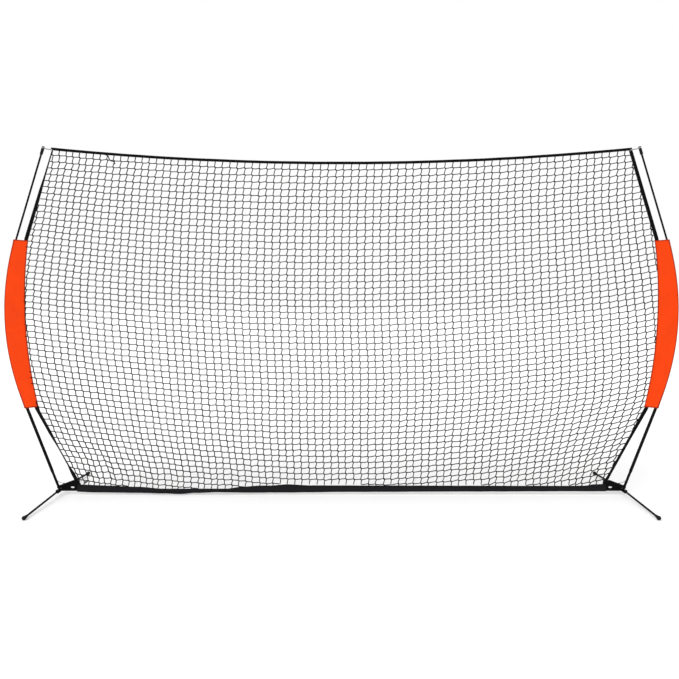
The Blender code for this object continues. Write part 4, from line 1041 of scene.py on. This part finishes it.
def sleeve_section(side, z):
    """A belt of cloth round the pole and round the band's inner edge at a height."""
    to_end = min(z - SLEEVE_FOOT, SLEEVE_HEAD - z)
    radius, nose, reach = SLEEVE_HIGH.y - SLEEVE_CLOTH, BAND_THICK / 2 + 0.3 * MM, panel_width(z)
    tilt = (radius - nose) / reach
    pole = arc(0.0, radius, pi / 2 - tilt, pi + 2 * tilt, SLEEVE_AROUND_POLE,
               1 + 0.6 * exp(-to_end / 0.09))
    band = arc(reach, nose, -pi / 2 + tilt, pi - 2 * tilt, SLEEVE_AROUND_BAND)
    folded = 0.7 * MM * smooth_steps(to_end, [(SLEEVE_END_HEM - 1 * MM, 1), (SLEEVE_END_HEM + 1 * MM, 0)])
    stitched = 0.6 * MM * groove(to_end, SLEEVE_END_SEAM, 1.3 * MM)
    centre, slope = float(pole_x(z)), pole_slope(z) * SLEEVE_LEAN
    section = []
    for u, v, nu, nv, free in pole + panel(pole[-1], band[0]) + band + panel(band[-1], pole[0]):
        face = 1.0 if v > 0 else -1.0
        crease = 1.7 * MM * noise.noise((side * 3 + u * 16, z * 5.5, face * 4)) * free
        crease += 0.9 * MM * noise.noise((side * 5 + u * 40, z * 14, face * 9)) * free
        end_pull = exp(-to_end / 0.06) * 1.3 * MM * sin(u * 2 * pi / 0.031) * free
        seam = (0.9 * MM * groove(reach - u, SLEEVE_BAND_SEAM, 1.5 * MM)
                + 0.7 * MM * groove(u, SLEEVE_POLE_SEAM, 1.5 * MM)) * (free > 0)
        lift = folded + crease + end_pull - seam - stitched
        u, v = u + nu * lift, v + nv * lift
        section.append((side * (centre - u), v, z + u * slope))
    return section


def panel(start, end):
    """Points between the pole's and the band's curves, with their share of freedom to crease."""
    points = []
    for i in range(1, SLEEVE_PANEL):
        share = i / SLEEVE_PANEL
        u, v, nu, nv = [a + (b - a) * share for a, b in zip(start[:4], end[:4])]
        points.append((u, v, nu, nv, sin(pi * share) ** 0.6))
    return points


class BARRIERNET_OT_sew_pole_sleeves(bpy.types.Operator):
    """Sew the coloured sleeves that tie the net to the bowed poles"""
    bl_idname = "barriernet.sew_pole_sleeves"
    bl_label = "Sew the pole sleeves"

    def execute(self, context):
        colours = context.scene.net_colours
        thread = sewing_thread("sleeve_thread", tone(colours.sleeve, 0.45))
        low, high = SLEEVE_FOOT, SLEEVE_HEAD
        count = ceil((high - low) / SLEEVE_STATION)
        heights = [low + (high - low) * i / count for i in range(count + 1)]
        for side, hand in SIDES:
            sections = [sleeve_section(side, z) for z in heights]
            middle = sections[count // 2]
            around = distances(middle + middle[:1])
            pole_fold = float(around[SLEEVE_AROUND_POLE // 2])
            band_fold = float(around[SLEEVE_AROUND_POLE + SLEEVE_PANEL + SLEEVE_AROUND_BAND // 2])
            # The sleeve's colour darkens along its folds at the pole, the band and both ends: painted shade
            # where the cloth turns.
            folds = ((0, pole_fold), (0, band_fold), (1, 0.0), (1, high - low))
            cloth = oxford_fabric(f"orange_oxford_{hand}", colours.sleeve, 0.36, 1.10,
                                  [(*fold, width) for fold, width in zip(folds, SLEEVE_FOLD_SHADE)])
            name = f"pole_sleeve_{hand}_cloth"
            mesh = loft(name, sections, True, False, around, [z - low for z in heights])
            item = linked(name, outward(mesh))
            give_wall(item, SLEEVE_CLOTH, 1)
            settle(item, cloth, smooth=60)
            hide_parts(f"pole_sleeve_{hand}")
            sew(f"pole_sleeve_{hand}_stitches", self.seams(side, heights), thread)
        return {'FINISHED'}

    def seams(self, side, heights):
        """Stitch lines: along both long folds, and along the hem at each end."""
        lines = [[self.on_panel(side, z, place, face) for z in heights]
                 for place in (SLEEVE_POLE_SEAM, -SLEEVE_BAND_SEAM) for face in (-1, 1)]
        for z in (SLEEVE_FOOT + SLEEVE_END_SEAM, SLEEVE_HEAD - SLEEVE_END_SEAM):
            places = [4 * MM + (panel_width(z) - 8 * MM) * i / 11 for i in range(12)]
            lines += [[self.on_panel(side, z, place, face) for place in places] for face in (-1, 1)]
        return lines

    def on_panel(self, side, z, place, face):
        """A point on the cloth's outer face; place is from the pole, or from the band if negative."""
        goal = place if place > 0 else panel_width(z) + place
        centre = side * float(pole_x(z))

        def away(point):
            return abs(abs(point[0] - centre) - goal)

        a, b = sorted([p for p in sleeve_section(side, z) if (p[1] > 0) == (face > 0)], key=away)[:2]
        point = Vector(a).lerp(Vector(b), away(a) / max(away(a) + away(b), 1e-9))
        point.y += face * (SLEEVE_CLOTH + 0.1 * MM)
        return point, Vector((0, face, 0))


# ---------------------------------------------------------------- corners
GUSSET_THICK = 1.5 * MM
BINDING_START = (1.8335, 0.0585)   # (x, z) of the tape's middle at the post of the right foot
BINDING_END_Z = 0.098              # where the tape reaches the side band
BINDING_WIDTH = 9 * MM
BINDING_THICK = 4.2 * MM
BINDING_STITCH = -2.5 * MM         # stitch line from the tape's middle
EYELET_PLACE = (30.3 * MM, 10.8 * MM)      # beyond the hem's end, and above the gusset's lower edge
EYELET_RADIUS = 12.6 * MM
EYELET_RIM = 1.5 * MM
EYELET_STRETCH = (1.0, 1.35, 0.50)
LOOP_TURN = radians(140)           # how far each half of a corner loop goes round its cap
LOOP_WIDTH = 7 * MM
LOOP_THICK = 1.2 * MM
LOOP_JOINED = 24 * MM              # from the cap's middle to where the two halves meet


def merged_copy(node, name):
    """A watertight copy of a frame piece's shape, to be worked on as cloth."""
    shape = bmesh.new()
    shape.from_mesh(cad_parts[node].data)
    bmesh.ops.remove_doubles(shape, verts=shape.verts[:], dist=0.02 * MM)
    bmesh.ops.dissolve_limit(shape, angle_limit=radians(2), verts=shape.verts[:], edges=shape.edges[:])
    mesh = bpy.data.meshes.new(name)
    shape.to_mesh(mesh)
    shape.free()
    return mesh


class BARRIERNET_OT_sew_corner_gussets(bpy.types.Operator):
    """Sew the triangular gussets at the bottom corners, with their eyelets and edge binding"""
    bl_idname = "barriernet.sew_corner_gussets"
    bl_label = "Sew the corner gussets"

    def execute(self, context):
        colours = context.scene.net_colours
        webbing = polyester_webbing("gusset_webbing", colours.webbing)
        thread = sewing_thread("gusset_thread", tone(colours.webbing, 2.2))
        brass = blackened_brass()
        for side, hand in SIDES:
            self.cloth(side, hand, webbing)
            self.binding(side, hand, webbing, thread)
            self.eyelet(side, hand, brass)
        return {'FINISHED'}

    def cloth(self, side, hand, webbing):
        """The gusset's own shape, a little thinner and with a slack wave towards the post."""
        name = f"corner_gusset_{hand}_cloth"
        mesh = merged_copy(f"corner_gusset_{hand}", name)
        item = linked(name, mesh)
        activate(item)
        bpy.ops.object.mode_set(mode='EDIT')
        bpy.ops.mesh.select_all(action='SELECT')
        bpy.ops.mesh.quads_convert_to_tris()
        bpy.ops.mesh.subdivide(number_cuts=2)
        bpy.ops.mesh.quads_convert_to_tris()
        bpy.ops.object.mode_set(mode='OBJECT')
        low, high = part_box(f"corner_gusset_{hand}")
        for vertex in mesh.vertices:
            if abs(vertex.co.y) > GUSSET_THICK * 1.2:
                continue
            across = (abs(vertex.co.x) - min(abs(low.x), abs(high.x))) / (high.x - low.x)
            rise = (vertex.co.z - low.z) / (high.z - low.z)
            free = max(1 - 1.25 * across, 0) * min(rise * 4, 1)
            vertex.co.y = vertex.co.y * 0.75 + side * 1.8 * MM * sin(across * 7 + rise * 3) * free
        uv = mesh.uv_layers.new(name="UVMap")
        for loop in mesh.loops:
            point = mesh.vertices[loop.vertex_index].co
            uv.data[loop.index].uv = (point.x, point.z)
        settle(item, webbing, smooth=40)
        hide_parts(f"corner_gusset_{hand}")

    def binding(self, side, hand, webbing, thread):
        """Tape folded over the upper edge, from the post to the side band."""
        _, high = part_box(f"corner_gusset_{hand}")
        start = Vector((side * BINDING_START[0], 0, BINDING_START[1]))
        end = Vector((side * (float(outer_x(BINDING_END_Z)) + 2 * MM), 0, high.z - 3.5 * MM))
        run = (end - start).normalized()
        across = Vector((-run.z, 0, run.x)) * (1 if run.x > 0 else -1)
        count = 12
        centres = [start.lerp(end, i / count) + BACK * (side * 1.0 * MM * sin(pi * i / count))
                   for i in range(count + 1)]
        name = f"corner_gusset_{hand}_binding"
        mesh = strap_mesh(name, centres, [across] * (count + 1), [FRONT] * (count + 1),
                          BINDING_WIDTH, BINDING_THICK)
        add_piece(name, mesh, webbing)
        lines = [[(c + across * BINDING_STITCH + BACK * (face * BINDING_THICK / 2), BACK * face)
                  for c in centres] for face in (-1, 1)]
        sew(f"corner_gusset_{hand}_stitches", lines, thread, gap=1.0 * MM)

    def eyelet(self, side, hand, brass):
        """A pressed oval ring in the gusset's hole."""
        low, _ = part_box(f"corner_gusset_{hand}")
        middle = (side * (HEM_END + EYELET_PLACE[0]), 0, low.z + EYELET_PLACE[1])
        bpy.ops.object.select_all(action='DESELECT')
        bpy.ops.mesh.primitive_torus_add(major_segments=40, minor_segments=10, location=middle,
                                         rotation=(pi / 2, 0, 0), major_radius=EYELET_RADIUS,
                                         minor_radius=EYELET_RIM)
        item = bpy.context.view_layer.objects.active
        item.name = f"corner_gusset_{hand}_eyelet"
        bpy.ops.object.mode_set(mode='EDIT')
        bpy.ops.mesh.select_all(action='SELECT')
        bpy.ops.transform.resize(value=EYELET_STRETCH, center_override=middle)
        bpy.ops.object.mode_set(mode='OBJECT')
        settle(item, brass, smooth=60)


class BARRIERNET_OT_tie_corner_loops(bpy.types.Operator):
    """Loop the straps of the net's top corners round the grooves of the pole caps"""
    bl_idname = "barriernet.tie_corner_loops"
    bl_label = "Tie the corner loops"

    def execute(self, context):
        webbing = polyester_webbing("corner_loop_webbing", linear("#9A9A98"))
        points = node_points("corner_loop_right")
        widest = np.abs(points[:, 1]).max()
        centre = Vector(points[np.abs(points[:, 1]) > 0.99 * widest].mean(axis=0))
        centre.y = 0
        radius = widest - 0.6 * MM
        top = POLE_LINE[-6:]
        lean = atan2(top[-1][1] - top[0][1], top[-1][0] - top[0][0])
        for side, hand in SIDES:
            axis = Vector((side * sin(lean), 0, cos(lean)))
            out = Vector((side * cos(lean), 0, -sin(lean)))
            hub = Vector((side * centre.x, 0, centre.z))
            corner = Vector((side * (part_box("corner_loop_right")[0].x - 9 * MM), 0, CORNER_Z - 14 * MM))
            facing = [out * cos(a) + BACK * sin(a) for a in [LOOP_TURN * i / 12 for i in range(13)]]
            half = [hub + direction * radius for direction in facing]
            joined = hub - out * LOOP_JOINED + axis * -2 * MM
            back = half + [half[-1].lerp(joined, 0.5), joined + BACK * 1.3 * MM,
                           joined.lerp(corner, 0.5) + BACK * 1.3 * MM, corner + BACK * 1.6 * MM]
            outs = facing + [BACK] * 4
            flip = Vector((1, -1, 1))
            centres = [p * flip for p in reversed(back)] + back[1:]
            normals = [n * flip for n in reversed(outs)] + outs[1:]
            acrosses = [(axis - n * axis.dot(n)).normalized() for n in normals]
            name = f"corner_loop_{hand}_webbing"
            mesh = strap_mesh(name, centres, acrosses, normals, LOOP_WIDTH, LOOP_THICK)
            item = add_piece(name, mesh, webbing)
            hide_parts(f"corner_loop_{hand}")
        return {'FINISHED'}


# ---------------------------------------------------------------- small pieces
CORD_LEAN = radians(21.8)          # of the foot's post that the elastic cord goes round
CORD_THICK = 3.0 * MM
LOOP_CORD_THICK = 2.8 * MM         # pulled thinner round the post
KNOT_CORD_THICK = 2.6 * MM         # and in a knot or through the toggle
TOGGLE_LEAN = radians(50)
# Radius and distance along the toggle's barrel, in millimetres.
TOGGLE_PROFILE = [(4.2, 0.0), (6.6, 1.6), (7.0, 3.0), (6.4, 8.0), (6.0, 13.0), (6.4, 18.0), (7.0, 22.6),
                  (6.6, 24.0), (4.6, 24.6), (4.6, 28.6), (3.8, 29.6)]


class BARRIERNET_OT_tie_cords(bpy.types.Operator):
    """Tie the elastic cords between the feet and the corner gussets"""
    bl_idname = "barriernet.tie_cords"
    bl_label = "Tie the elastic cords"

    def execute(self, context):
        cord = braided_elastic()
        low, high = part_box("tie_cord_right")
        points = node_points("tie_cord_right")
        widest = points[np.abs(points[:, 1]) > np.abs(points[:, 1]).max() - 0.1 * MM]
        hub = Vector(widest.mean(axis=0))
        hub.y = 0
        axis = Vector((sin(CORD_LEAN), 0, cos(CORD_LEAN)))
        radius = high.y - 1.5 * MM
        knot = Vector((low.x + 3.5 * MM, 0, low.z + 3.5 * MM))
        out = axis.cross(BACK)
        ring = [hub + (out * cos(a) + BACK * sin(a)) * radius + axis * 0.9 * MM * sin(2 * a)
                for a in [2 * pi * i / 24 for i in range(25)]]
        start = ring[12] if (ring[12] - knot).length < (ring[0] - knot).length else ring[0]
        path = [start.lerp(knot, i / 15) - Vector((0, 0, 3 * MM * sin(pi * i / 15))) for i in range(16)]
        lines = (("elastic", path, CORD_THICK), ("loop", ring, LOOP_CORD_THICK),
                 ("knot", self.knot(knot), KNOT_CORD_THICK))
        for side, hand in SIDES:
            flip = Vector((side, 1, 1))
            for part, line, diameter in lines:
                name = f"tie_cord_{hand}_{part}"
                item = tube_object(name, [[(p * flip, 1.0) for p in line]], diameter, 2)
                settle(item, cord, smooth=80)
                if part == "elastic":
                    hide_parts(f"tie_cord_{hand}")
        return {'FINISHED'}

    def knot(self, middle):
        """An overhand knot: a trefoil of cord."""
        turns = [2 * pi * i / 39 for i in range(40)]
        return [middle + Vector((sin(a) + 2 * sin(2 * a), -sin(3 * a), cos(a) - 2 * cos(2 * a))) * 1.15 * MM
                for a in turns]


class BARRIERNET_OT_fit_toggle(bpy.types.Operator):
    """Fit the barrel toggle on its cord at the hem's left end"""
    bl_idname = "barriernet.fit_toggle"
    bl_label = "Fit the hem toggle"

    def execute(self, context):
        low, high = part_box("hem_toggle")
        foot = Vector((low.x + 1.0 * MM, 0, low.z + 0.5 * MM))
        direction = Vector((sin(TOGGLE_LEAN), 0, cos(TOGGLE_LEAN)))
        base = foot + direction * 14 * MM
        turn = direction.to_track_quat('Z', 'Y').to_matrix().to_4x4()
        bpy.ops.object.select_all(action='DESELECT')
        bpy.ops.mesh.primitive_circle_add(vertices=32, radius=TOGGLE_PROFILE[0][0] * MM, fill_type='NGON')
        item = bpy.context.view_layer.objects.active
        item.name = "hem_toggle_barrel"
        bpy.ops.object.mode_set(mode='EDIT')
        bpy.ops.mesh.select_all(action='SELECT')
        for (r0, h0), (r1, h1) in zip(TOGGLE_PROFILE, TOGGLE_PROFILE[1:]):
            bpy.ops.mesh.extrude_region_move(TRANSFORM_OT_translate={"value": (0, 0, (h1 - h0) * MM)})
            bpy.ops.transform.resize(value=(r1 / r0, r1 / r0, 1), center_override=(0, 0, h1 * MM))
        bpy.ops.mesh.select_all(action='SELECT')
        bpy.ops.mesh.normals_make_consistent(inside=False)
        bpy.ops.object.mode_set(mode='OBJECT')
        item.data.transform(Matrix.Translation(base) @ turn)
        settle(item, acetal(), smooth=35)
        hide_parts("hem_toggle")
        path = [foot.lerp(base + direction * 3 * MM, s) + FRONT * (2.0 * MM * sin(pi * s))
                for s in [i / 8 for i in range(9)]]
        cord = tube_object("hem_toggle_cord", [[(p, 1.0) for p in path]], KNOT_CORD_THICK, 2)
        settle(cord, braided_elastic(), smooth=80)
        return {'FINISHED'}


# ---------------------------------------------------------------- stage
PAPER = "#EDEDED"
PAPER_LIFT = 0.22                  # light that the paper gives off where it is seen
SOFTBOX_WIDTH = radians(50)
SOFTBOX_TURN = (radians(48), radians(-14), radians(-22))
LENS_SHIFT = (-0.0029, -0.0633)    # share of the picture's width, to the right and up
SENSOR_WIDTH = 36.0                # millimetres
FLOOR_SIZE = 120.0
FAR = 200.0                        # the camera sees no further


class BARRIERNET_OT_set_stage(bpy.types.Operator):
    """Lay the floor, light the studio and place the camera"""
    bl_idname = "barriernet.set_stage"
    bl_label = "Set the stage"

    def execute(self, context):
        studio = context.scene.net_studio
        scene = context.scene
        scene.view_settings.view_transform = 'Standard'
        self.floor()
        self.sky(scene, studio)
        lamp = bpy.data.lights.new("softbox", 'SUN')
        lamp.energy = studio.sun
        lamp.angle = SOFTBOX_WIDTH
        linked("softbox", lamp).rotation_euler = SOFTBOX_TURN
        view = bpy.data.cameras.new("camera")
        view.lens = studio.lens
        view.sensor_width = SENSOR_WIDTH
        view.shift_x, view.shift_y = LENS_SHIFT
        view.clip_end = FAR
        camera = linked("camera", view)
        camera.location = (0.0, -studio.distance, studio.height)
        camera.rotation_euler = (pi / 2, 0.0, 0.0)
        scene.camera = camera
        return {'FINISHED'}

    def floor(self):
        """Matt white paper; camera, mirror and glass rays see it lifted to white round its shadows."""
        bpy.ops.object.select_all(action='DESELECT')
        bpy.ops.mesh.primitive_plane_add(size=FLOOR_SIZE, location=(0, 0, 0))
        floor = bpy.context.view_layer.objects.active
        floor.name = "paper_floor"
        material = bpy.data.materials.new("white_paper")
        material.use_nodes = True
        tree = material.node_tree
        tree.nodes.clear()
        output = add_node(tree, 'ShaderNodeOutputMaterial', {})
        paper = add_node(tree, 'ShaderNodeBsdfDiffuse', {"Color": linear(PAPER)})
        lift = add_node(tree, 'ShaderNodeEmission',
                        {"Color": linear("#FFFFFF"), "Strength": self.seen(tree, PAPER_LIFT, 0.0)})
        total = add_node(tree, 'ShaderNodeAddShader', {0: paper.outputs[0], 1: lift.outputs[0]})
        tree.links.new(total.outputs[0], output.inputs["Surface"])
        floor.data.materials.append(material)

    def seen(self, tree, seen, unseen):
        """One number for camera, glossy and transmission rays and another for the rest."""
        path = add_node(tree, 'ShaderNodeLightPath', {})
        total = path.outputs["Is Camera Ray"]
        for ray in ("Is Glossy Ray", "Is Transmission Ray"):
            total = add_node(tree, 'ShaderNodeMath', {0: total, 1: path.outputs[ray]},
                             operation='MAXIMUM').outputs[0]
        return add_node(tree, 'ShaderNodeMapRange', {0: total, 3: unseen, 4: seen}).outputs[0]

    def sky(self, scene, studio):
        """White all around to look at, and as bright as the setting says for everything else."""
        world = bpy.data.worlds.new("studio")
        scene.world = world
        world.use_nodes = True
        tree = world.node_tree
        tree.nodes["Background"].inputs["Color"].default_value = linear("#FFFFFF")
        tree.links.new(self.seen(tree, 1.0, studio.sky), tree.nodes["Background"].inputs["Strength"])


# ---------------------------------------------------------------- panel
STEPS = ("set_stage", "finish_frame", "knot_net", "sew_bottom_sleeve", "sew_top_band", "sew_side_bands",
         "sew_pole_sleeves", "sew_corner_gussets", "tie_corner_loops", "tie_cords", "fit_toggle")


class BARRIERNET_PT_panel(bpy.types.Panel):
    """Lists the settings and the steps that dress the net"""
    bl_idname = "BARRIERNET_PT_panel"
    bl_label = "Barrier Net"
    bl_space_type = 'VIEW_3D'
    bl_region_type = 'UI'
    bl_category = "Barrier Net"

    def draw(self, context):
        layout = self.layout
        for group in (context.scene.net_sizes, context.scene.net_colours, context.scene.net_studio):
            box = layout.box()
            for key in group.bl_rna.properties.keys():
                if key not in {"rna_type", "name"}:
                    box.prop(group, key)
        for step in STEPS:
            layout.operator(f"barriernet.{step}")


CLASSES = (NetSizes, NetColours, Studio, BARRIERNET_OT_set_stage, BARRIERNET_OT_finish_frame,
           BARRIERNET_OT_knot_net, BARRIERNET_OT_sew_bottom_sleeve, BARRIERNET_OT_sew_top_band,
           BARRIERNET_OT_sew_side_bands, BARRIERNET_OT_sew_pole_sleeves,
           BARRIERNET_OT_sew_corner_gussets, BARRIERNET_OT_tie_corner_loops, BARRIERNET_OT_tie_cords,
           BARRIERNET_OT_fit_toggle, BARRIERNET_PT_panel)


def register():
    for item in CLASSES:
        bpy.utils.register_class(item)
    bpy.types.Scene.net_sizes = PointerProperty(type=NetSizes)
    bpy.types.Scene.net_colours = PointerProperty(type=NetColours)
    bpy.types.Scene.net_studio = PointerProperty(type=Studio)


def unregister():
    del bpy.types.Scene.net_sizes
    del bpy.types.Scene.net_colours
    del bpy.types.Scene.net_studio
    for item in reversed(CLASSES):
        bpy.utils.unregister_class(item)


def main():
    register()
    for step in STEPS:
        getattr(bpy.ops.barriernet, step)()


if __name__ == "__main__":
    main()
